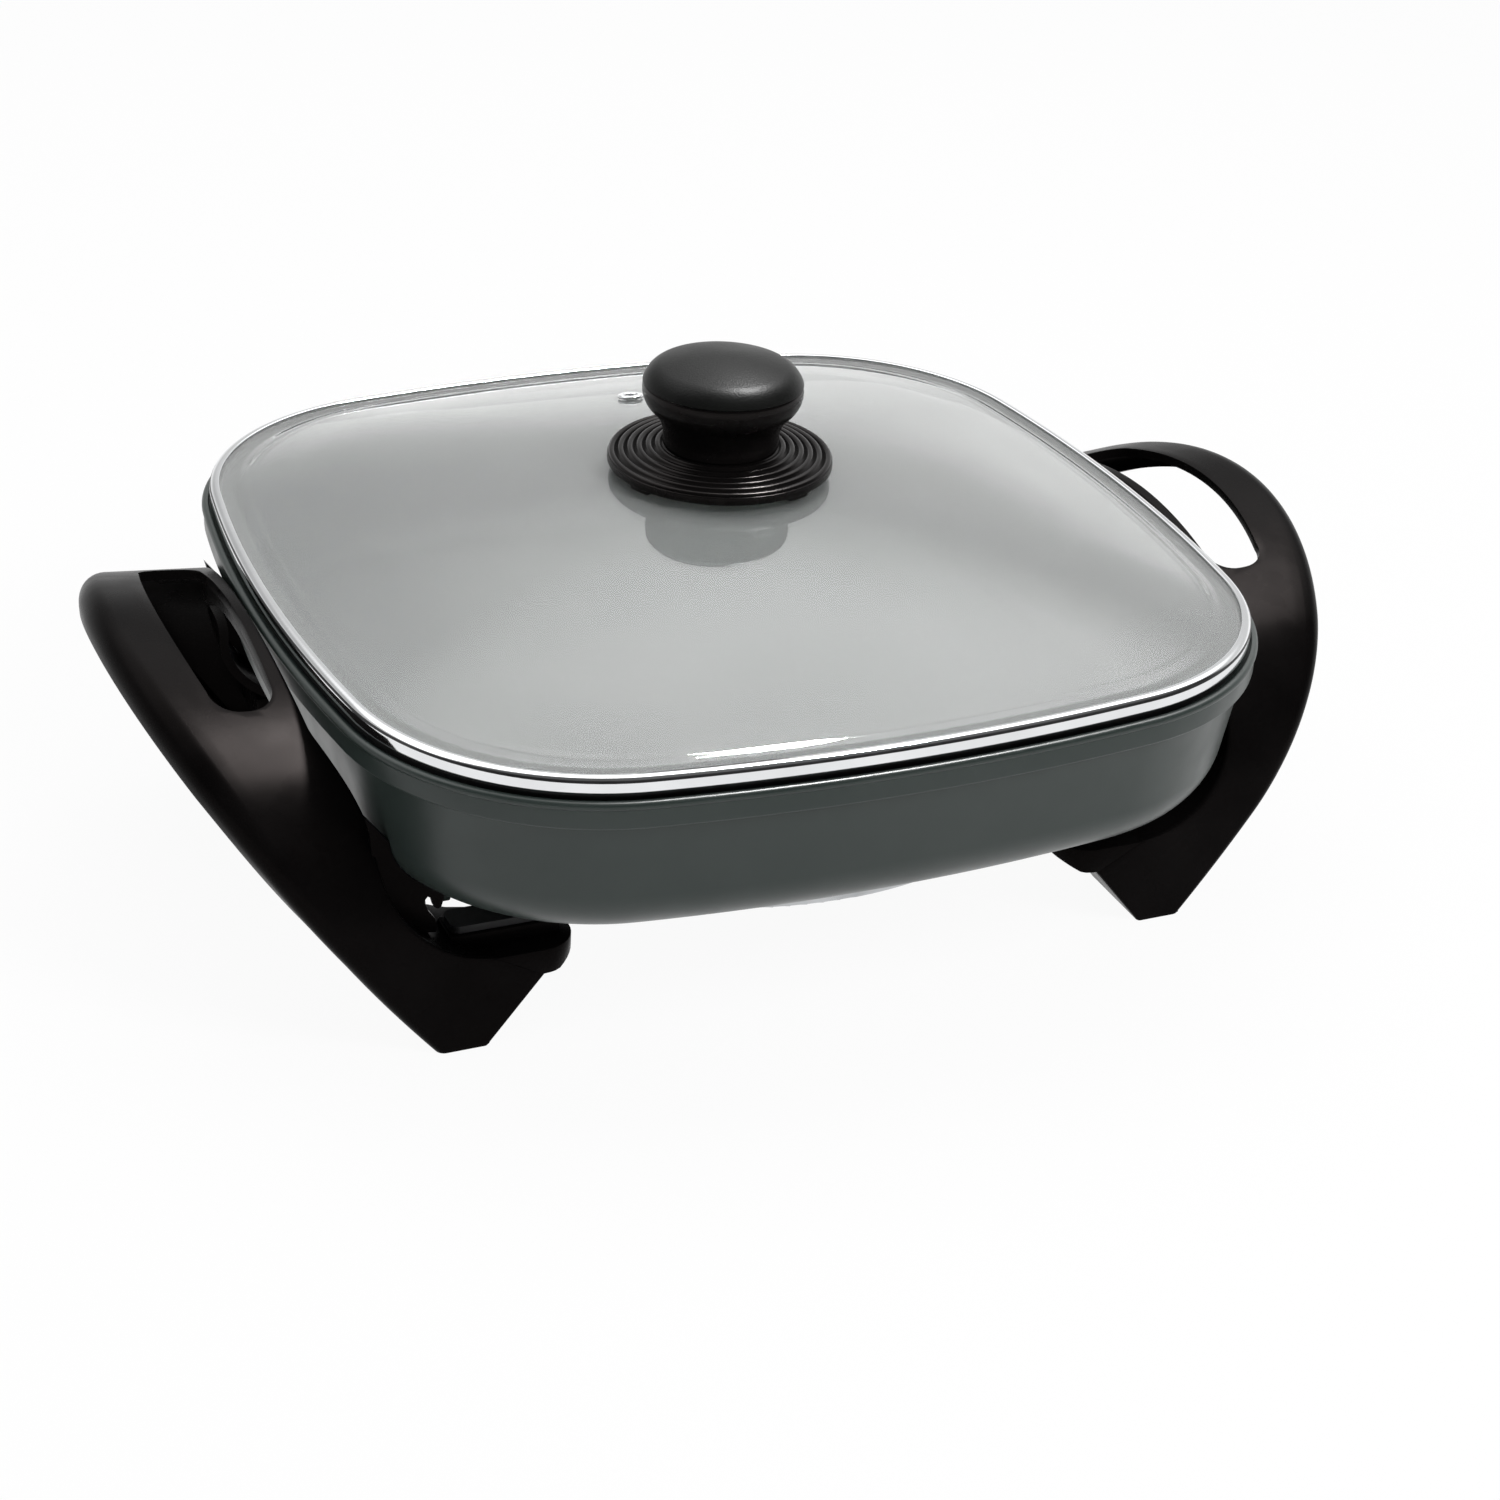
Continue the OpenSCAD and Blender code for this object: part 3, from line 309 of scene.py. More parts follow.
# Fine grain: the small unevenness of a coat or moulding, as a height and a roughness
grainy, given, made = new_group(
    "fine_grain", (("Vector", "v"), ("Scale", "f"), ("Smooth", "f"), ("Rough", "f")),
    (("Height", "f"), ("Roughness", "f")))
fine = grainy.nodes.new("ShaderNodeTexNoise")
fine.inputs["Detail"].default_value = 2
coarse = grainy.nodes.new("ShaderNodeTexNoise")
coarse.inputs["Detail"].default_value = 5
coarser = grainy.nodes.new("ShaderNodeMath")
coarser.operation = "MULTIPLY"
coarser.inputs[1].default_value = 0.03
between = grainy.nodes.new("ShaderNodeMapRange")
between.inputs["From Min"].default_value, between.inputs["From Max"].default_value = 0.3, 0.7
grainy.links.new(given["Vector"], fine.inputs["Vector"])
grainy.links.new(given["Vector"], coarse.inputs["Vector"])
grainy.links.new(given["Scale"], fine.inputs["Scale"])
grainy.links.new(given["Scale"], coarser.inputs[0])
grainy.links.new(coarser.outputs[0], coarse.inputs["Scale"])
grainy.links.new(coarse.outputs["Fac"], between.inputs["Value"])
grainy.links.new(given["Smooth"], between.inputs["To Min"])
grainy.links.new(given["Rough"], between.inputs["To Max"])
grainy.links.new(fine.outputs["Fac"], made["Height"])
grainy.links.new(between.outputs[0], made["Roughness"])


def new_finish(name, dark, light, cloud_scale, grain_scale, smooth, rough, bump, **constants):
    """A Principled finish with a drifting colour, an uneven gloss and a fine relief."""
    material = bpy.data.materials.new(name)
    material.use_nodes = True
    nodes, links = material.node_tree.nodes, material.node_tree.links
    shader = nodes["Principled BSDF"]
    for socket, value in constants.items():
        shader.inputs[socket.replace("_", " ")].default_value = value
    place = nodes.new("ShaderNodeTexCoord").outputs["Object"]
    shade = nodes.new("ShaderNodeGroup")
    shade.node_tree = cloudy
    shade.inputs["Scale"].default_value = cloud_scale
    shade.inputs["Dark"].default_value = (*dark, 1)
    shade.inputs["Light"].default_value = (*light, 1)
    grain = nodes.new("ShaderNodeGroup")
    grain.node_tree = grainy
    for socket, value in (("Scale", grain_scale), ("Smooth", smooth), ("Rough", rough)):
        grain.inputs[socket].default_value = value
    links.new(place, shade.inputs["Vector"])
    links.new(place, grain.inputs["Vector"])
    links.new(shade.outputs["Colour"], shader.inputs["Base Color"])
    links.new(grain.outputs["Roughness"], shader.inputs["Roughness"])
    if bump:
        relief = nodes.new("ShaderNodeBump")
        relief.inputs["Strength"].default_value = bump
        relief.inputs["Distance"].default_value = 0.0002
        links.new(grain.outputs["Height"], relief.inputs["Height"])
        links.new(relief.outputs["Normal"], shader.inputs["Normal"])
    return material


pan_bottom_z, rim_z, floor_thickness = 52, 106.3, 4
lip_height, band_height, rim_out, band_out, wall_out = 2.9, 6.2, 2.8, 2.2, -0.6
bottom_radius, wall_thickness, ledge_depth, ledge_out, flat_floor_out = 22, 3.6, 1.5, 0.4, -62
draft_degrees = 9
draft = radians(draft_degrees)
band_bottom_z = rim_z - lip_height - band_height
lip_radius = lip_height / 2


def wall_corner(top_out, radius, base_z):
    """Centre of the arc between the leaning wall, which is at top_out under the band, and the floor."""
    tangent_z = base_z + radius - radius * sin(draft)
    return top_out - (band_bottom_z - tangent_z) * tan(draft) - radius * cos(draft), base_z + radius


inner_out = wall_out - wall_thickness / cos(draft)
outer_corner = wall_corner(wall_out, bottom_radius, pan_bottom_z)
inner_corner = wall_corner(inner_out, bottom_radius - wall_thickness, pan_bottom_z + floor_thickness)
ledge_z = rim_z - ledge_depth
lip_meets_band = -54
fillet, fillet_run, lip_crease, seat_edge, seat_chamfer, seat_fillet = 0.9, 0.4, 0.3, 0.4, 0.2, 0.5
pan_section = (
    [(flat_floor_out, pan_bottom_z)]
    + arc(*outer_corner, bottom_radius, -90, -draft_degrees, 18)
    + [(wall_out - (fillet + fillet_run) * tan(draft), band_bottom_z - fillet - fillet_run)]
    + arc(wall_out + fillet, band_bottom_z - fillet, fillet, 180 - draft_degrees, 95, 5)
    + arc(band_out - fillet, band_bottom_z + fillet, fillet, -85, 0, 5)
    + [(band_out, rim_z - lip_radius + lip_radius * sin(radians(lip_meets_band)) - lip_crease)]
    + arc(rim_out - lip_radius, rim_z - lip_radius, lip_radius, lip_meets_band, 90, 9)
    + arc(ledge_out + seat_edge, rim_z - seat_edge, seat_edge, 90, 180, 3)
    + [(ledge_out, ledge_z + seat_chamfer / 2), (ledge_out - seat_chamfer, ledge_z)]
    + arc(inner_out + (ledge_z - band_bottom_z) * tan(draft) + seat_fillet, ledge_z - seat_fillet,
          seat_fillet, 90, 180 - draft_degrees, 3)
    + arc(*inner_corner, bottom_radius - wall_thickness, -draft_degrees, -90, 18)
    + [(flat_floor_out, pan_bottom_z + floor_thickness)])

pan_bm = bmesh.new()
sweep_round_outline(pan_bm, pan_section)
close_up(pan_bm)

# Bosses for the leg and guard screws, sunk into the floor from below
leg_screw_x, leg_screw_y, leg_boss_radius, leg_boss_z = 96, 91, 8, 38.5
guard_screw_x, guard_screw_y, guard_boss_radius, guard_ear_z = 129, 39, 6, 46
boss_top_z = pan_bottom_z + 1
# Ribs beside the legs: a long part, a slot near the front with a bridge over it, and a tip
rib_x, rib_front_y, rib_length, rib_drop, rib_thickness = 124, 88, 36, 9, 4
slot_back, slot_front, slot_depth, bridge_overlap, rib_top_z = 6.25, 3.75, 5, 0.35, 54
rib_low_z = pan_bottom_z - rib_drop
for x in (-1, 1):
    for y in (-1, 1):
        drum(pan_bm, (x * leg_screw_x, y * leg_screw_y), leg_boss_radius, leg_boss_z, boss_top_z, 0.6)
        for start, end, half, low, high, rounding in (
                (rib_length, slot_back, rib_thickness / 2, rib_low_z, rib_top_z, 0.8),
                (slot_front, 0, rib_thickness / 2, rib_low_z, rib_top_z, 0.8),
                (slot_back + bridge_overlap, slot_front - bridge_overlap, rib_thickness / 2 - 0.1,
                 rib_low_z + slot_depth, rib_top_z - 0.5, 0.3)):
            near, far = sorted((y * (rib_front_y - start), y * (rib_front_y - end)))
            block(pan_bm, (x * rib_x - half, near, low), (x * rib_x + half, far, high), rounding)
for y in (-1, 1):
    drum(pan_bm, (guard_screw_x, y * guard_screw_y), guard_boss_radius, guard_ear_z, boss_top_z, 0.5)

coated = new_finish("coated_aluminium_finish", (0.020, 0.029, 0.026), (0.027, 0.036, 0.033), 22, 2600,
                    0.30, 0.38, 0.004, Metallic=0.0, IOR=1.5, Specular_IOR_Level=0.36)
pan = new_piece("pan", pan_bm, coated)
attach(pan, "base")
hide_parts("pan_body")

# ---- Heater under the pan ----
# Ring of bare cast aluminium, turned on its underside, that carries a tubular element. The two
# cold ends leave it through a block, with ceramic beads and plated pins, beside the probe's sleeve.
bare = new_finish("bare_aluminium_finish", (0.40, 0.41, 0.42), (0.56, 0.57, 0.58), 60, 1500,
                  0.26, 0.42, 0.25, Metallic=1.0)
plated = new_finish("plated_steel_finish", (0.52, 0.53, 0.54), (0.66, 0.67, 0.68), 90, 1800,
                    0.22, 0.34, 0.12, Metallic=1.0)
bead = new_finish("ceramic_finish", (0.62, 0.59, 0.52), (0.74, 0.71, 0.64), 150, 2200,
                  0.35, 0.5, 0.2, Metallic=0.0)
dress("heater_ring", bare)
for name in ("heating_element", "terminal_pins", "thermostat_sleeve"):
    dress(name, plated)
dress("terminal_insulators", bead)

# ---- Guard round the terminals ----
# Moulded black phenolic tunnel, open below, round the terminal pins and the sleeve. Two
# round-headed screws hold its ears to two bosses of the pan.
phenolic = new_finish("phenolic_finish", (0.0025, 0.0022, 0.0022), (0.0045, 0.004, 0.004), 35, 3200,
                      0.24, 0.32, 0.03, Metallic=0.0, IOR=1.5, Specular_IOR_Level=0.022,
                      Specular_Tint=(1, 0.84, 0.80, 1))
dress("probe_guard", phenolic)
dress("guard_screws", plated)

# ---- Handle-legs ----
# One black phenolic moulding on each side, a channel that is open inside: a grip with a hand hole,
# two legs that narrow down to the feet, and a tab on each leg that is screwed up under the pan.
handle_reach, handle_clear, tilt_middle = 210.5, 4.3, 178.5
handle_top_z, grip_tilt, crown_radius, bend_radius, leg_half = 110, radians(5), 150, 64, 106.5
bend_y = leg_half - bend_radius
crown_angle = asin(bend_y / (crown_radius - bend_radius))
crown_z = handle_top_z - crown_radius
bend_z = crown_z + (crown_radius - bend_radius) * cos(crown_angle)
arch_length = crown_radius * crown_angle + bend_radius * (pi / 2 - crown_angle) + bend_z
foot_outer_x, foot_width, moulding_wall = 132.4, 16.6, 3.2
grip_roll, foot_roll, grip_depth, inner_lip_depth = 8, 3, 10, 32
pocket_x, pocket_radius, pocket_z, pocket_flare, pocket_end = 109.5, 38.5, 69.8, 70, radians(84)
tab_top_z, tab_under_z, plate_z = 31.3, 22.5, 36
foot_inner_x = foot_outer_x - foot_width
notch_x = foot_inner_x - 18.5
hole_inner_x, hole_width, hole_corner, hole_straight, hole_bow = 165.3, 20.2, 9, 44, 4.4
hole_bow_radius = (hole_straight ** 2 + hole_bow ** 2) / (2 * hole_bow)


def arch_at(slope):
    """Place on the arch where it slopes by that angle: (y, z, slope, share of the way to the foot)."""
    if slope < crown_angle:
        return (crown_radius * sin(slope), crown_z + crown_radius * cos(slope), slope,
                crown_radius * slope / arch_length)
    along = crown_radius * crown_angle + bend_radius * (slope - crown_angle)
    return (bend_y + bend_radius * sin(slope), bend_z + bend_radius * cos(slope), slope,
            along / arch_length)


def outline_x(y, grow):
    """x of the lid's outline, moved out by grow, at a distance y from the middle of a side."""
    if abs(y) < (side_radius + grow) * sin(side_turn):
        return sqrt((side_radius + grow) ** 2 - y * y) - side_centre
    return corner_centre + sqrt((corner_radius + grow) ** 2 - (abs(y) - corner_centre) ** 2)


def pocket_edge(z):
    """Inner edge round the pocket that the pan's corner lies in."""
    if z > pocket_z:
        return pocket_x + pocket_radius + (z - pocket_z) ** 2 / pocket_flare
    return pocket_x + sqrt(pocket_radius ** 2 - (pocket_z - z) ** 2)


def pan_side(y, z):
    """x of the pan's outer wall, between its floor and the band."""
    if z > pan_bottom_z + bottom_radius * (1 - sin(draft)):
        return outline_x(y, wall_out - (band_bottom_z - z) * tan(draft))
    return outline_x(y, outer_corner[0] + sqrt(bottom_radius ** 2 - (outer_corner[1] - z) ** 2))


pocket_low_z = pocket_z - pocket_radius * sin(pocket_end)
pocket_low_x = pocket_edge(pocket_low_z)


def inner_edge(y, z):
    """Inner edge of the moulding: along the pan's rim, round the pocket, then down to the foot."""
    if z < tab_under_z:
        return notch_x + (foot_inner_x - notch_x) * (tab_under_z - z) / tab_under_z
    if z < pocket_low_z:
        return notch_x + (pocket_low_x - notch_x) * (z - tab_under_z) / (pocket_low_z - tab_under_z)
    return min(outline_x(y, handle_clear), pocket_edge(z))


def outer_edge(share):
    """Outer edge of the moulding, which draws in towards the foot."""
    return handle_reach - (handle_reach - foot_outer_x) * share ** 2


def hole_edges(y):
    """Inner and outer x of the hand hole, at a distance y from its middle."""
    beyond = min(max(y - hole_straight, 0), hole_corner)
    rounded = hole_corner - sqrt(hole_corner ** 2 - beyond ** 2)
    bow = hole_bow - hole_bow_radius + sqrt(hole_bow_radius ** 2 - min(y, hole_straight) ** 2)
    return hole_inner_x + rounded, hole_inner_x + hole_width - rounded + bow


hole_ys = ([hole_straight * i / 14 for i in range(15)]
           + [hole_straight + hole_corner * sin(radians(10 * i)) for i in range(1, 10)])
crown_ys = [hole_ys[-1] + (crown_radius * sin(crown_angle) - hole_ys[-1]) * i / 8 for i in range(1, 9)]
stations = [arch_at(min(asin(y / crown_radius), crown_angle - 1e-9)) for y in hole_ys + crown_ys]
stations += [arch_at(crown_angle + (pi / 2 - crown_angle) * i / 36) for i in range(1, 37)]
leg_zs = ([bend_z + (pocket_low_z - bend_z) * i / 3 for i in range(1, 4)]
          + [pocket_low_z + (tab_under_z - pocket_low_z) * i / 6 for i in range(1, 7)]
          + [tab_under_z * (1 - i / 12) for i in range(1, 13)])
stations += [(leg_half, z, pi / 2, 1 - z / arch_length) for z in leg_zs]


def beside_hole(y, z):
    """Whether a station lies on the grip, where the hand hole is."""
    return y <= hole_ys[-1] + 1e-6 and z > bend_z


# Past the hole's end the columns beside it go on down the legs, in the shares they have there
lip_roll = 1.2
end_y, end_z, _, end_share = arch_at(asin(hole_ys[-1] / crown_radius))
end_low = inner_edge(end_y, end_z) + lip_roll
end_high = outer_edge(end_share) - grip_roll
hole_shares = [(x - end_low) / (end_high - end_low) for x in hole_edges(hole_ys[-1])]


def face_line(station):
    """Outer face of the moulding at a station, as (across, depth): lip, top, rolled edge, side band."""
    y, z, slope, share = station
    low, high, turn = inner_edge(y, z), outer_edge(share), slope / (pi / 2)
    roll = grip_roll - (grip_roll - foot_roll) * share ** 4
    lip_depth = 0.8 * grip_depth
    lip = lip_depth + (inner_lip_depth - lip_depth) * turn ** 1.6
    side = grip_depth * (1 + 0.2 * turn)
    start, end = low + lip_roll, high - roll
    cut = hole_edges(y) if beside_hole(y, z) else [start + (end - start) * f for f in hole_shares]
    line = [(low, lip_roll + (lip - lip_roll) * (1 - i / 4)) for i in range(4)]
    line += [(low + lip_roll * (1 - cos(radians(22.5 * i))), lip_roll * (1 - sin(radians(22.5 * i))))
             for i in range(4)]
    for a, b in ((start, cut[0]), cut, (cut[1], end)):
        line += [(a + (b - a) * i / 4, 0) for i in range(4)]
    line += [(high - roll * (1 - sin(radians(9 * i))), roll * (1 - cos(radians(9 * i))))
             for i in range(11)]
    return line + [(high, roll + (side - roll) * i / 2) for i in (1, 2)]


# The face is a grid: columns across the section, rows along the arch, with the hand hole left open
rows = [(s, -1) for s in reversed(stations[1:])] + [(s, 1) for s in stations]
columns = len(face_line(stations[0]))
hole_columns = (12, 16)
handle_bm = bmesh.new()
bmesh.ops.create_grid(handle_bm, x_segments=columns - 1, y_segments=len(rows) - 1, size=1)
lines = [face_line(station) for station, _ in rows]
in_hole = []
for vert in handle_bm.verts:
    column = round((vert.co.x + 1) / 2 * (columns - 1))
    row = round((vert.co.y + 1) / 2 * (len(rows) - 1))
    (y, z, slope, share), side = rows[row]
    across, depth = lines[row][column]
    depth -= (across - tilt_middle) * tan(grip_tilt) * cos(slope)
    vert.co = across, side * (y - depth * sin(slope)), z - depth * cos(slope)
    vert.index = row * columns + column
for face in handle_bm.faces:
    columns_used = [v.index % columns for v in face.verts]
    rows_used = [v.index // columns for v in face.verts]
    if (min(columns_used) >= hole_columns[0] and max(columns_used) <= hole_columns[1]
            and all(beside_hole(*rows[r][0][:2]) for r in rows_used)):
        in_hole.append(face)
bmesh.ops.delete(handle_bm, geom=in_hole, context="FACES")
bmesh.ops.remove_doubles(handle_bm, verts=handle_bm.verts, dist=0.01)
top = max(handle_bm.faces, key=lambda f: f.calc_center_median().z)
if top.normal.z < 0:
    bmesh.ops.reverse_faces(handle_bm, faces=handle_bm.faces)
handle_bm.normal_update()


def settle(piece):
    """Works a piece's modifiers into its mesh."""
    bpy.context.view_layer.update()
    solid = bpy.data.meshes.new_from_object(
        piece.evaluated_get(bpy.context.evaluated_depsgraph_get()))
    piece.modifiers.clear()
    piece.data = solid
    return piece


def soften(piece, width, segments=2):
    """Rounds a piece's hard edges a little."""
    bevel = piece.modifiers.new("edges", "BEVEL")
    bevel.width, bevel.segments, bevel.limit_method = width * MM, segments, "ANGLE"
    bevel.angle_limit, bevel.harden_normals = radians(40), False
    return piece


shell = new_piece("handle_shell", handle_bm, phenolic)
wall = shell.modifiers.new("wall", "SOLIDIFY")
wall.thickness, wall.offset, wall.use_even_offset = moulding_wall * MM, -1, True
soften(shell, 0.7, 3)
settle(shell)

# Tab of the front leg, with the recess for its screw
tab_end_x, tab_outer_x, tab_length, tab_corner = 85.5, 137.4, 24, 12
tab_front, tab_back = -(leg_half - 0.1), -(leg_half - tab_length)
tab_taper, tab_taper_x = 0.57, tab_end_x + 7
recess_radius, recess_depth = 5, 4
plan = ([(tab_outer_x, tab_front), (tab_outer_x, tab_back), (tab_end_x, tab_back)]
        + arc(tab_end_x + tab_corner, tab_front + tab_corner, tab_corner, 180, 270, 10))


def slab(bm, outline, rise):
    """A closed slab, from a flat outline in space that is raised by a vector."""
    face = bm.faces.new([bm.verts.new(place) for place in outline])
    raised = bmesh.ops.extrude_face_region(bm, geom=[face])["geom"]
    bmesh.ops.translate(bm, verts=[v for v in raised if isinstance(v, bmesh.types.BMVert)], vec=rise)


tab_bm = bmesh.new()
slab(tab_bm, [(x, y, tab_under_z) for x, y in plan], (0, 0, tab_top_z - tab_under_z))
for vert in tab_bm.verts:
    if vert.co.z < tab_under_z + 0.1 and vert.co.x < tab_taper_x:
        vert.co.z += tab_taper * (tab_taper_x - vert.co.x)
bmesh.ops.recalc_face_normals(tab_bm, faces=tab_bm.faces)
tab = new_piece("handle_tab", tab_bm, phenolic)
recess_bm = bmesh.new()
drum(recess_bm, (leg_screw_x, -leg_screw_y), recess_radius, tab_under_z - 5, tab_under_z + recess_depth)
recess = new_piece("handle_recess", recess_bm, phenolic)
cut = tab.modifiers.new("recess", "BOOLEAN")
cut.object, cut.operation, cut.solver = recess, "DIFFERENCE", "EXACT"
soften(tab, 0.6)
settle(tab)
bpy.data.objects.remove(recess)

# Pad and sole, and the web that closes the gap between leg and pan and ends in a small hook
pad_low_x, pad_high_x, pad_front = tab_end_x + 4, tab_end_x + 40, -(leg_half - 9)
sole_length, sole_thickness, sole_clear = 31.8, 3, 0.2
web_y, web_thickness, web_root, web_gap = leg_half - 11, 2.4, 1.6, 0.3
hook = [(127.0, 53.4), (126.9, 49), (127.6, 46.5), (128.8, 45.8), (130.0, 46.7), (130.5, 48.5),
        (131.0, 50.1), (132.0, 50.7), (132.8, 49.7), (132.6, 47.5), (131.6, 45.3), (129.6, 42.3),
        (128.8, 39.5), (129.4, 37.6)]
web = ([(pocket_edge(z) + web_root, z) for z in (38, 43, 49, 56, 63, 70, 76, 82)]
       + [(pan_side(web_y, z) + web_gap, z) for z in (72, 70, 67, 64, 60, 57, 54.5)] + hook)
parts_bm = bmesh.new()
parts_bm.from_mesh(tab.data)
bmesh.ops.scale(parts_bm, verts=parts_bm.verts, vec=(1 / MM,) * 3)
slab(parts_bm, [(x, -web_y, z) for x, z in web], (0, web_thickness, 0))
block(parts_bm, (pad_low_x, pad_front, tab_top_z - 1), (pad_high_x, tab_back - 2, plate_z), 0.5)
block(parts_bm, (foot_inner_x - 0.5, tab_front + 0.1, sole_clear),
      (foot_outer_x - 0.6, tab_front + sole_length, sole_thickness), 0.5)

# The back leg mirrors the front leg, and the left handle mirrors the right one
bmesh.ops.mirror(parts_bm, geom=parts_bm.verts[:] + parts_bm.edges[:] + parts_bm.faces[:],
                 axis="Y", merge_dist=-1)
bmesh.ops.recalc_face_normals(parts_bm, faces=parts_bm.faces)
bmesh.ops.scale(parts_bm, verts=parts_bm.verts, vec=(MM,) * 3)
parts_bm.from_mesh(shell.data)
bmesh.ops.scale(parts_bm, verts=parts_bm.verts, vec=(1 / MM,) * 3)
bpy.data.objects.remove(tab)
bpy.data.objects.remove(shell)
left_bm = parts_bm.copy()
bmesh.ops.scale(left_bm, verts=left_bm.verts, vec=(-1, 1, 1))
bmesh.ops.reverse_faces(left_bm, faces=left_bm.faces)
for side, bm in (("right", parts_bm), ("left", left_bm)):
    handle = new_piece("grip_and_legs_" + side, bm, phenolic, 50)
    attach(handle, "base")
    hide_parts("handle_" + side)

# ---- Leg fasteners ----
# A pressed steel plate on each tab spreads the load of a slotted screw that goes up through a
# washer, the tab and the plate into the pan's boss.
blackened = new_finish("blackened_steel_finish", (0.020, 0.020, 0.021), (0.035, 0.035, 0.036), 80, 1600,
                       0.34, 0.46, 0.1, Metallic=0.6)
for corner in ("front_right", "back_right", "front_left", "back_left"):
    dress("plate_" + corner, blackened)
dress("leg_screws", plated)
dress("leg_washers", plated)

# ---- Lid rim ----
# Bright stainless strip, rolled to a channel round the edge of the glass, with a hem that stands
# on the pan's ledge.
rim_width, strip, rim_bend, low_bend, upper_flange = 4, 0.7, 2.2, 0.9, 3
rim_low_z, rim_high_z = 107.6, 113
rim_section = (
    arc(-upper_flange, rim_high_z - strip / 2, strip / 2, 270, 90, 6)
    + arc(-rim_bend, rim_high_z - rim_bend, rim_bend, 90, 0, 12)
    + arc(-low_bend, rim_low_z + low_bend, low_bend, 0, -90, 8)
    + [(-rim_width, rim_low_z), (-rim_width, rim_low_z + strip)]
    + arc(-low_bend, rim_low_z + low_bend, low_bend - strip, -90, 0, 5)
    + arc(-rim_bend, rim_high_z - rim_bend, rim_bend - strip, 0, 90, 8))
hem_in, hem_out, hem_chamfer, hem_top_z = -3.8, -1.2, 0.3, rim_low_z + 0.35
hem_section = [(hem_in, ledge_z + hem_chamfer), (hem_in + hem_chamfer, ledge_z),
               (hem_out - hem_chamfer, ledge_z), (hem_out, ledge_z + hem_chamfer),
               (hem_out, hem_top_z), (hem_in, hem_top_z)]
rim_bm = bmesh.new()
sweep_round_outline(rim_bm, rim_section, closed=True)
sweep_round_outline(rim_bm, hem_section, closed=True)
bmesh.ops.recalc_face_normals(rim_bm, faces=rim_bm.faces)
bright = new_finish("bright_stainless_finish", (0.74, 0.75, 0.76), (0.82, 0.83, 0.84), 40, 1200,
                    0.06, 0.12, 0.03, Metallic=1.0)
rim = new_piece("rim_strip", rim_bm, bright)

# The hem and the hidden faces inside the channel get a dark stainless finish: painted shade, which stands
# for the shadow in the gap under the rim and inside the channel
painted_shade_stainless = new_finish("painted_shade_stainless_finish", (0.05, 0.05, 0.052), (0.09, 0.09, 0.092), 60, 1500,
                      0.4, 0.5, 0.05, Metallic=1.0)
rim.data.materials.append(painted_shade_stainless)
# Painted shade: faces below the rim's lower edge, and faces inside the channel that face inwards or up,
# take the dark finish
painted_shade_below_z, channel_top_z, facing = rim_low_z - 0.2, rim_high_z - 0.8, 0.3
for polygon in rim.data.polygons:
    height = polygon.center.z / MM
    inwards = -polygon.normal.dot(polygon.center.xy.normalized().to_3d())
    if height < painted_shade_below_z or (height < channel_top_z and max(inwards, polygon.normal.z) > facing):
        polygon.material_index = 1
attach(rim, "lid")
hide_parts("lid_rim")

# ---- Lid glass ----
# Tempered glass pressed to a low dome, with a shoulder inside the rim and a flat edge in it. It is
# round near the knob and takes the lid's outline towards the edge; one bore for the knob's screw
# and one for the steam vent.
glass_thickness, glass_lip_z, glass_top_z, shoulder_height = 3.2, 112.2, 137.5, 1.4
glass_bore_radius, shoulder_in, lip_in, glass_edge_out = 3.2, 0.93, 0.965, -1.8
mean_reach = lid_half * 1.05
dome_edge_z = glass_lip_z + shoulder_height


def outline_reach(angle, grow):
    """Distance from the middle to the lid's outline, moved out by grow, in a direction."""
    off_axis = abs((angle + pi / 4) % (pi / 2) - pi / 4)
    cosine, sine = cos(off_axis), sin(off_axis)
    side_end = (side_radius + grow) * sin(side_turn)
    if off_axis < atan2(side_end, outline_x(side_end - 1e-6, grow)):
        return sqrt((side_radius + grow) ** 2 - (side_centre * sine) ** 2) - side_centre * cosine
    return (corner_centre * (cosine + sine)
            + sqrt((corner_radius + grow) ** 2 - (corner_centre * (cosine - sine)) ** 2))


def glass_z(t):
    """Height of the upper face, where t runs from 0 in the middle to 1 at the edge."""
    if t <= shoulder_in:
        return glass_top_z - (glass_top_z - dome_edge_z) * (t / shoulder_in) ** 2
    if t >= lip_in:
        return glass_lip_z
    return glass_lip_z + shoulder_height * (1 + cos(pi * (t - shoulder_in) / (lip_in - shoulder_in))) / 2


def glass_reach(t, angle):
    """Distance of the upper face's point from the middle, which is round near the knob."""
    edge = outline_reach(angle, glass_edge_out)
    return t * (mean_reach + (edge - mean_reach) * min(1, 1.6 * t * t))


glass_ts = ([glass_bore_radius / mean_reach] + [0.04 + 0.88 * i / 30 for i in range(31)]
            + [0.925 + 0.045 * i / 12 for i in range(13)] + [0.985, 0.997, 1.0])
glass_bm = bmesh.new()
spoke = chain(glass_bm, [(t, 0, 0) for t in glass_ts])
bmesh.ops.spin(glass_bm, geom=spoke, cent=(0, 0, 0), axis=(0, 0, 1), dvec=(0, 0, 0), angle=2 * pi,
               steps=192, use_merge=True, use_normal_flip=False, use_duplicate=False)
bmesh.ops.recalc_face_normals(glass_bm, faces=glass_bm.faces)
for vert in glass_bm.verts:
    t, angle = sqrt(vert.co.x ** 2 + vert.co.y ** 2), atan2(vert.co.y, vert.co.x)
    reach = glass_reach(t, angle)
    vert.co = reach * cos(angle), reach * sin(angle), glass_z(t)
glass_bm.normal_update()
if sum(f.normal.z for f in glass_bm.faces) < 0:
    bmesh.ops.reverse_faces(glass_bm, faces=glass_bm.faces)

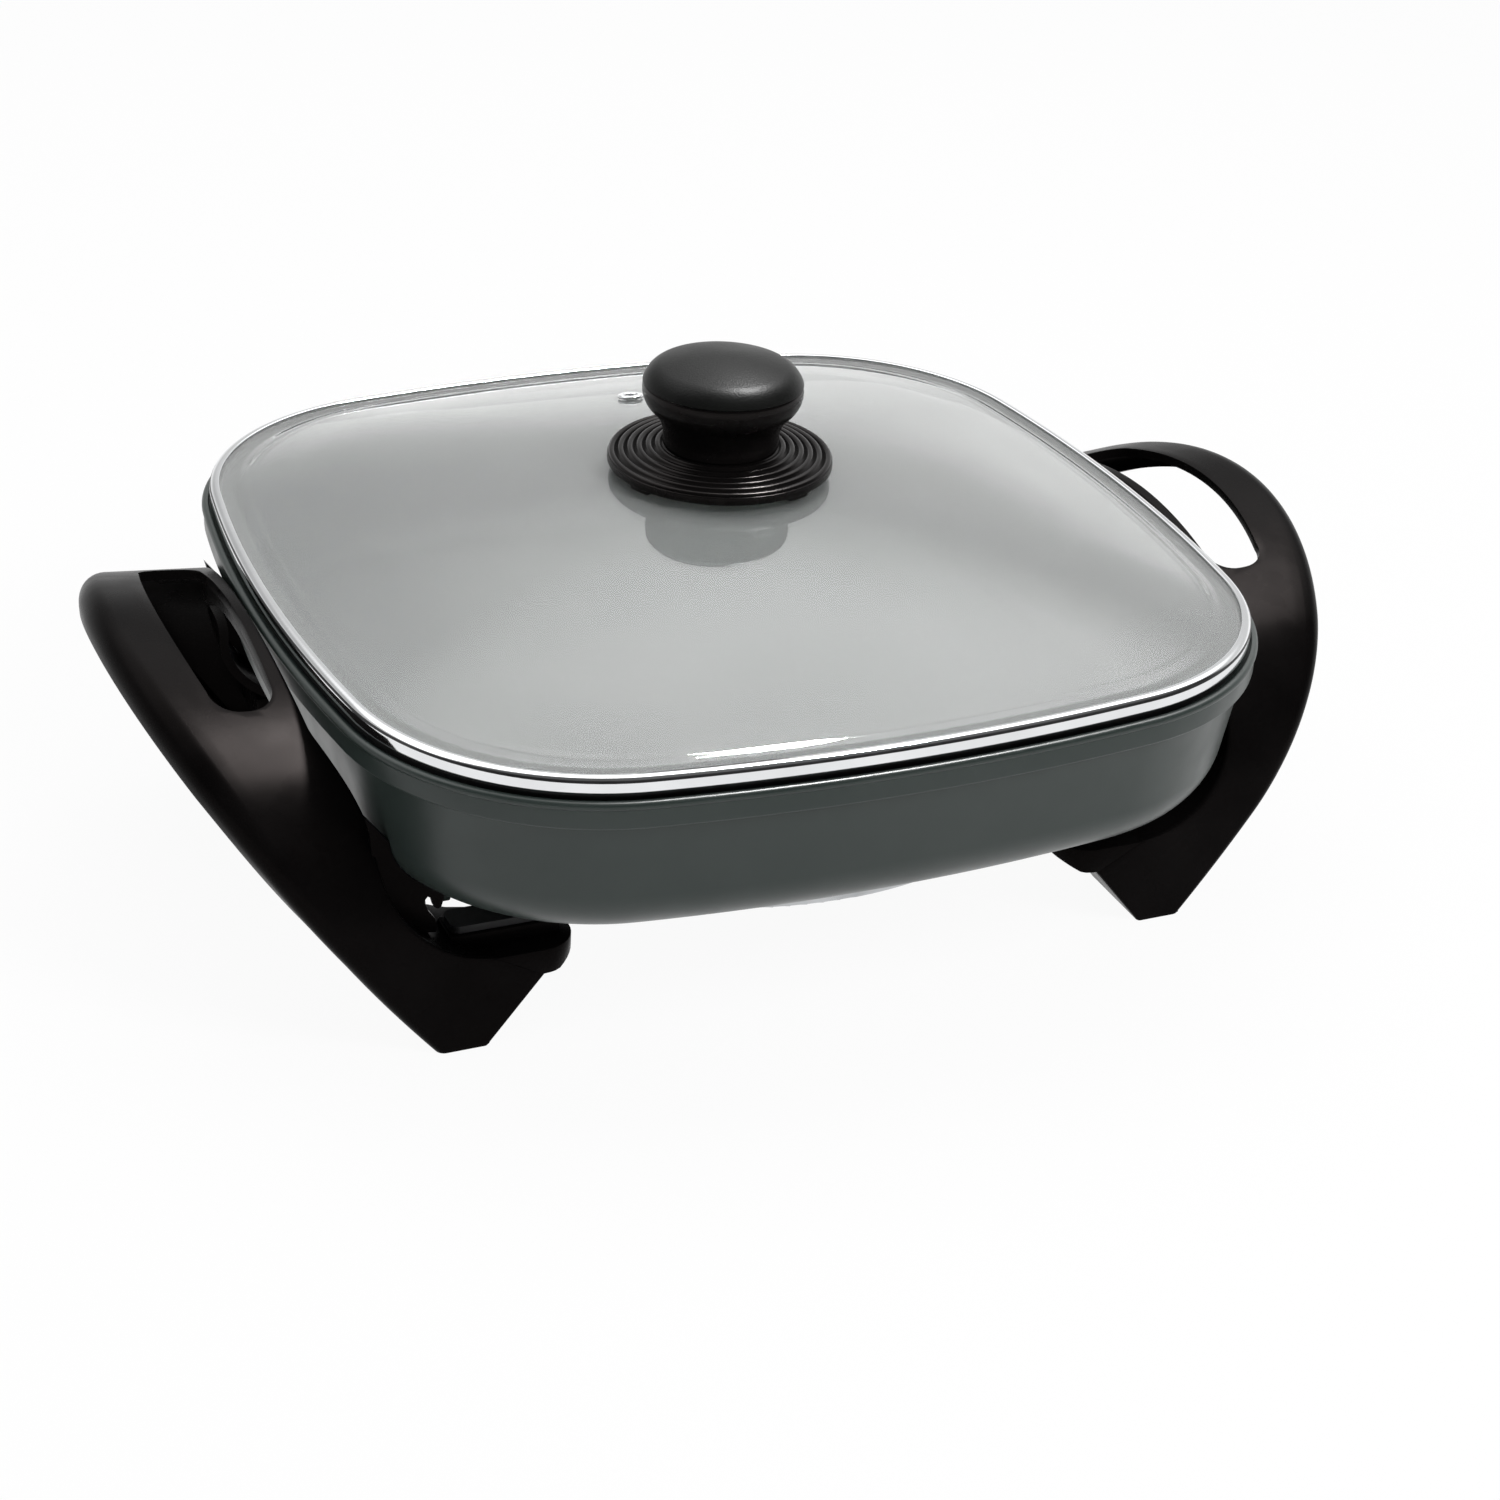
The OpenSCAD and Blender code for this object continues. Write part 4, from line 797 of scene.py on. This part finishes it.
# Clear glass with a faint milky bloom; slight wipe marks make its gloss uneven
clear = new_finish("glass_finish", (0.80, 0.82, 0.81), (0.86, 0.875, 0.865), 9, 900,
                   0.02, 0.05, 0, Metallic=0.0, IOR=1.5, Transmission_Weight=0.84)
glass = new_piece("glass_dome", glass_bm, clear)
wall = glass.modifiers.new("wall", "SOLIDIFY")
wall.thickness, wall.offset, wall.use_even_offset = glass_thickness * MM, -1, True
settle(glass)

# Bore for the steam vent, square to the dome behind the knob
vent_y, vent_bore_radius, vent_step, backwards = 81, 3.1, 0.05, pi / 2
vent_t = 0.5 * vent_y / glass_reach(0.5, backwards)
vent_fall = glass_z(vent_t - vent_step) - glass_z(vent_t + vent_step)
vent_run = glass_reach(vent_t + vent_step, backwards) - glass_reach(vent_t - vent_step, backwards)
at_vent = (Matrix.Translation((0, vent_y, glass_z(vent_t)))
           @ Matrix.Rotation(-atan(vent_fall / vent_run), 4, "X"))
bore_bm = bmesh.new()
drum(bore_bm, (0, 0), vent_bore_radius, -9, 6)
bmesh.ops.transform(bore_bm, matrix=at_vent, verts=bore_bm.verts)
bore = new_piece("glass_bore", bore_bm, clear)
cut = glass.modifiers.new("vent", "BOOLEAN")
cut.object, cut.operation, cut.solver = bore, "DIFFERENCE", "EXACT"
settle(glass)
bpy.data.objects.remove(bore)
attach(glass, "lid")
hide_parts("lid_glass")

# ---- Steam vent ----
# Stainless eyelet, pressed through the glass behind the knob and rolled over at the top. It lets
# the steam out and lines the bore.


def turn_on_lathe(bm, profile, steps):
    """Spins a profile, as (radius, height), round the upright axis. It closes if it stays off the axis."""
    moving = chain(bm, [(r, 0, z) for r, z in profile], closed=profile[0][0] > 1e-6)
    bmesh.ops.spin(bm, geom=moving, cent=(0, 0, 0), axis=(0, 0, 1), dvec=(0, 0, 0), angle=2 * pi,
                   steps=steps, use_merge=True, use_normal_flip=False, use_duplicate=False)
    bmesh.ops.remove_doubles(bm, verts=bm.verts, dist=0.001)
    bmesh.ops.recalc_face_normals(bm, faces=bm.faces)


eyelet_radius, eyelet_wall, eyelet_low_z, flange_radius, flange_z = 2.2, 0.6, -4.8, 4.6, 0.3
inner_roll, outer_roll = 0.8, 0.6
roll_top_z = flange_z + 2 * outer_roll
eyelet_bm = bmesh.new()
turn_on_lathe(eyelet_bm, (
    [(eyelet_radius, eyelet_low_z), (eyelet_radius, roll_top_z - inner_roll)]
    + arc(eyelet_radius + inner_roll, roll_top_z - inner_roll, inner_roll, 180, 90, 5)
    + arc(flange_radius - outer_roll, roll_top_z - outer_roll, outer_roll, 90, -90, 8)
    + [(eyelet_radius + eyelet_wall, flange_z), (eyelet_radius + eyelet_wall, eyelet_low_z)]), 64)
bmesh.ops.transform(eyelet_bm, matrix=at_vent, verts=eyelet_bm.verts)
eyelet = new_piece("vent_ring", eyelet_bm, bright)
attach(eyelet, "lid")
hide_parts("vent_eyelet")

# ---- Knob ----
# Three phenolic mouldings on one screw: a ridged skirt, a waisted grip and a domed cap. A silicone
# gasket lies under the skirt, a washer and the screw's head under the glass.
skirt_radius, skirt_edge, ridge_count, waist_radius = 37.4, 4, 6, 19.2
skirt_top_z, ridge_rise, ridge_radius, edge_wall, skirt_plate = 143.4, 0.57, 1.15, 2, 2.4
skirt_foot_round, skirt_edge_round, insert_bore_radius, skirt_bore_radius = 0.5, 0.6, 4.05, 2.8
ridge_pitch = (skirt_radius - waist_radius) / ridge_count
waist_z = skirt_top_z + ridge_count * ridge_rise
grip_base_z, knob_top_z, hub_radius = waist_z - ridge_rise, 177, 11
skirt_base_z, skirt_low_z = glass_z(0.06) + 1.5, skirt_top_z - skirt_edge

ridges = []
for i in range(ridge_count):
    middle = skirt_radius - (i + 0.5) * ridge_pitch
    ridges += arc(middle, skirt_top_z + i * ridge_rise - ridge_radius, ridge_radius, 10, 170, 8)
skirt_bm = bmesh.new()
turn_on_lathe(skirt_bm, (
    [(skirt_bore_radius, skirt_base_z), (hub_radius, skirt_base_z), (hub_radius, grip_base_z - skirt_plate),
     (waist_radius, grip_base_z - skirt_plate), (skirt_radius - edge_wall, skirt_top_z - skirt_plate),
     (skirt_radius - edge_wall, skirt_low_z)]
    + arc(skirt_radius - skirt_foot_round, skirt_low_z + skirt_foot_round, skirt_foot_round, -90, 0, 3)
    + arc(skirt_radius - skirt_edge_round, skirt_top_z - ridge_radius - skirt_edge_round,
          skirt_edge_round, 0, 80, 3)
    + ridges + [(waist_radius - 1, grip_base_z), (skirt_bore_radius, grip_base_z)]), 160)

# Four lugs under the skirt's edge
lug_wall, lug_width, lug_reach, lug_angle = 1.4, 8, 1.2, 22
for i in range(4):
    lug_bm = bmesh.new()
    block(lug_bm, (skirt_radius - edge_wall - lug_wall, -lug_width / 2, skirt_low_z - lug_reach),
          (skirt_radius - 0.4, lug_width / 2, skirt_low_z + lug_reach), 0.4)
    bmesh.ops.rotate(lug_bm, verts=lug_bm.verts, cent=(0, 0, 0),
                     matrix=Matrix.Rotation(radians(lug_angle + 90 * i), 3, "Z"))
    lug_mesh = bpy.data.meshes.new("lug")
    lug_bm.to_mesh(lug_mesh)
    lug_bm.free()
    skirt_bm.from_mesh(lug_mesh)
    bpy.data.meshes.remove(lug_mesh)
knob_phenolic = new_finish("knob_phenolic_finish", (0.0025, 0.0022, 0.0022), (0.0045, 0.004, 0.004),
                           60, 3200, 0.20, 0.28, 0.03, Metallic=0.0, IOR=1.5,
                           Specular_IOR_Level=0.12, Specular_Tint=(1, 0.9, 0.87, 1))
skirt = new_piece("ridged_skirt", skirt_bm, knob_phenolic)

# Grip: a flare up from the waist into the shoulder, cut off at the groove under the cap
flare, cap_radius, grip_wall, cap_shoulder, dome_radius, groove_step = 13, 26.9, 3, 9, 65, 0.35
shoulder_x = cap_radius - cap_shoulder
dome_z = knob_top_z - dome_radius
shoulder_z = dome_z + sqrt((dome_radius - cap_shoulder) ** 2 - shoulder_x ** 2)
groove_z = shoulder_z + 2.4
inner_radius = waist_radius - grip_wall
core_radius = inner_radius - 8
flare_x = waist_radius + flare
flare_z = shoulder_z - sqrt((flare + cap_shoulder) ** 2 - (flare_x - shoulder_x + groove_step) ** 2)
flare_end = 180 - degrees(atan2(shoulder_z - flare_z, flare_x - shoulder_x + groove_step))
groove_turn = degrees(asin((groove_z - groove_step - shoulder_z) / cap_shoulder))
groove_x = shoulder_x - groove_step + cap_shoulder * cos(radians(groove_turn)) - groove_step
grip_bm = bmesh.new()
turn_on_lathe(grip_bm, (
    [(insert_bore_radius, grip_base_z), (waist_radius, grip_base_z)]
    + arc(flare_x, flare_z, flare, 180, flare_end, 20)
    + arc(shoulder_x - groove_step, shoulder_z, cap_shoulder, flare_end - 180, groove_turn, 24)[1:]
    + [(groove_x, groove_z), (inner_radius, groove_z), (inner_radius, grip_base_z + grip_wall),
       (core_radius, grip_base_z + grip_wall), (core_radius, groove_z), (insert_bore_radius, groove_z)]),
    160)
grip = new_piece("knob_waist", grip_bm, knob_phenolic)

# Cap: a domed top that turns over the shoulder down to the groove, with a shallow hollow below
cap_edge, hollow_height = 0.3, 3
dome_end = degrees(atan2(shoulder_z - dome_z, shoulder_x))
shoulder_end = degrees(asin((groove_z + cap_edge - shoulder_z) / cap_shoulder))
cap_bm = bmesh.new()
turn_on_lathe(cap_bm, (
    arc(0, dome_z, dome_radius, 90, dome_end, 16)
    + arc(shoulder_x, shoulder_z, cap_shoulder, dome_end, shoulder_end, 28)[1:]
    + [(shoulder_x + cap_shoulder * cos(radians(shoulder_end)) - cap_edge, groove_z),
       (inner_radius, groove_z), (inner_radius, groove_z + hollow_height),
       (0, groove_z + hollow_height)]), 160)
grained = new_finish("grained_phenolic_finish", (0.004, 0.0042, 0.004), (0.008, 0.0085, 0.008), 60, 1500,
                     0.32, 0.42, 0.45, Metallic=0.0, IOR=1.5, Specular_IOR_Level=0.10)
cap = new_piece("domed_cap", cap_bm, grained)

for piece, node_name in ((skirt, "knob_skirt"), (grip, "knob_grip"), (cap, "knob_cap")):
    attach(piece, "lid")
    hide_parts(node_name)

rubber = new_finish("silicone_finish", (0.020, 0.020, 0.021), (0.032, 0.032, 0.033), 80, 2600,
                    0.55, 0.7, 0.2, Metallic=0.0)
turned_brass = new_finish("brass_finish", (0.56, 0.40, 0.17), (0.70, 0.52, 0.24), 120, 1800,
                          0.25, 0.4, 0.15, Metallic=1.0)
dress("knob_gasket", rubber)
dress("knob_insert", turned_brass)
dress("knob_washer", bright)
dress("knob_screw", bright)
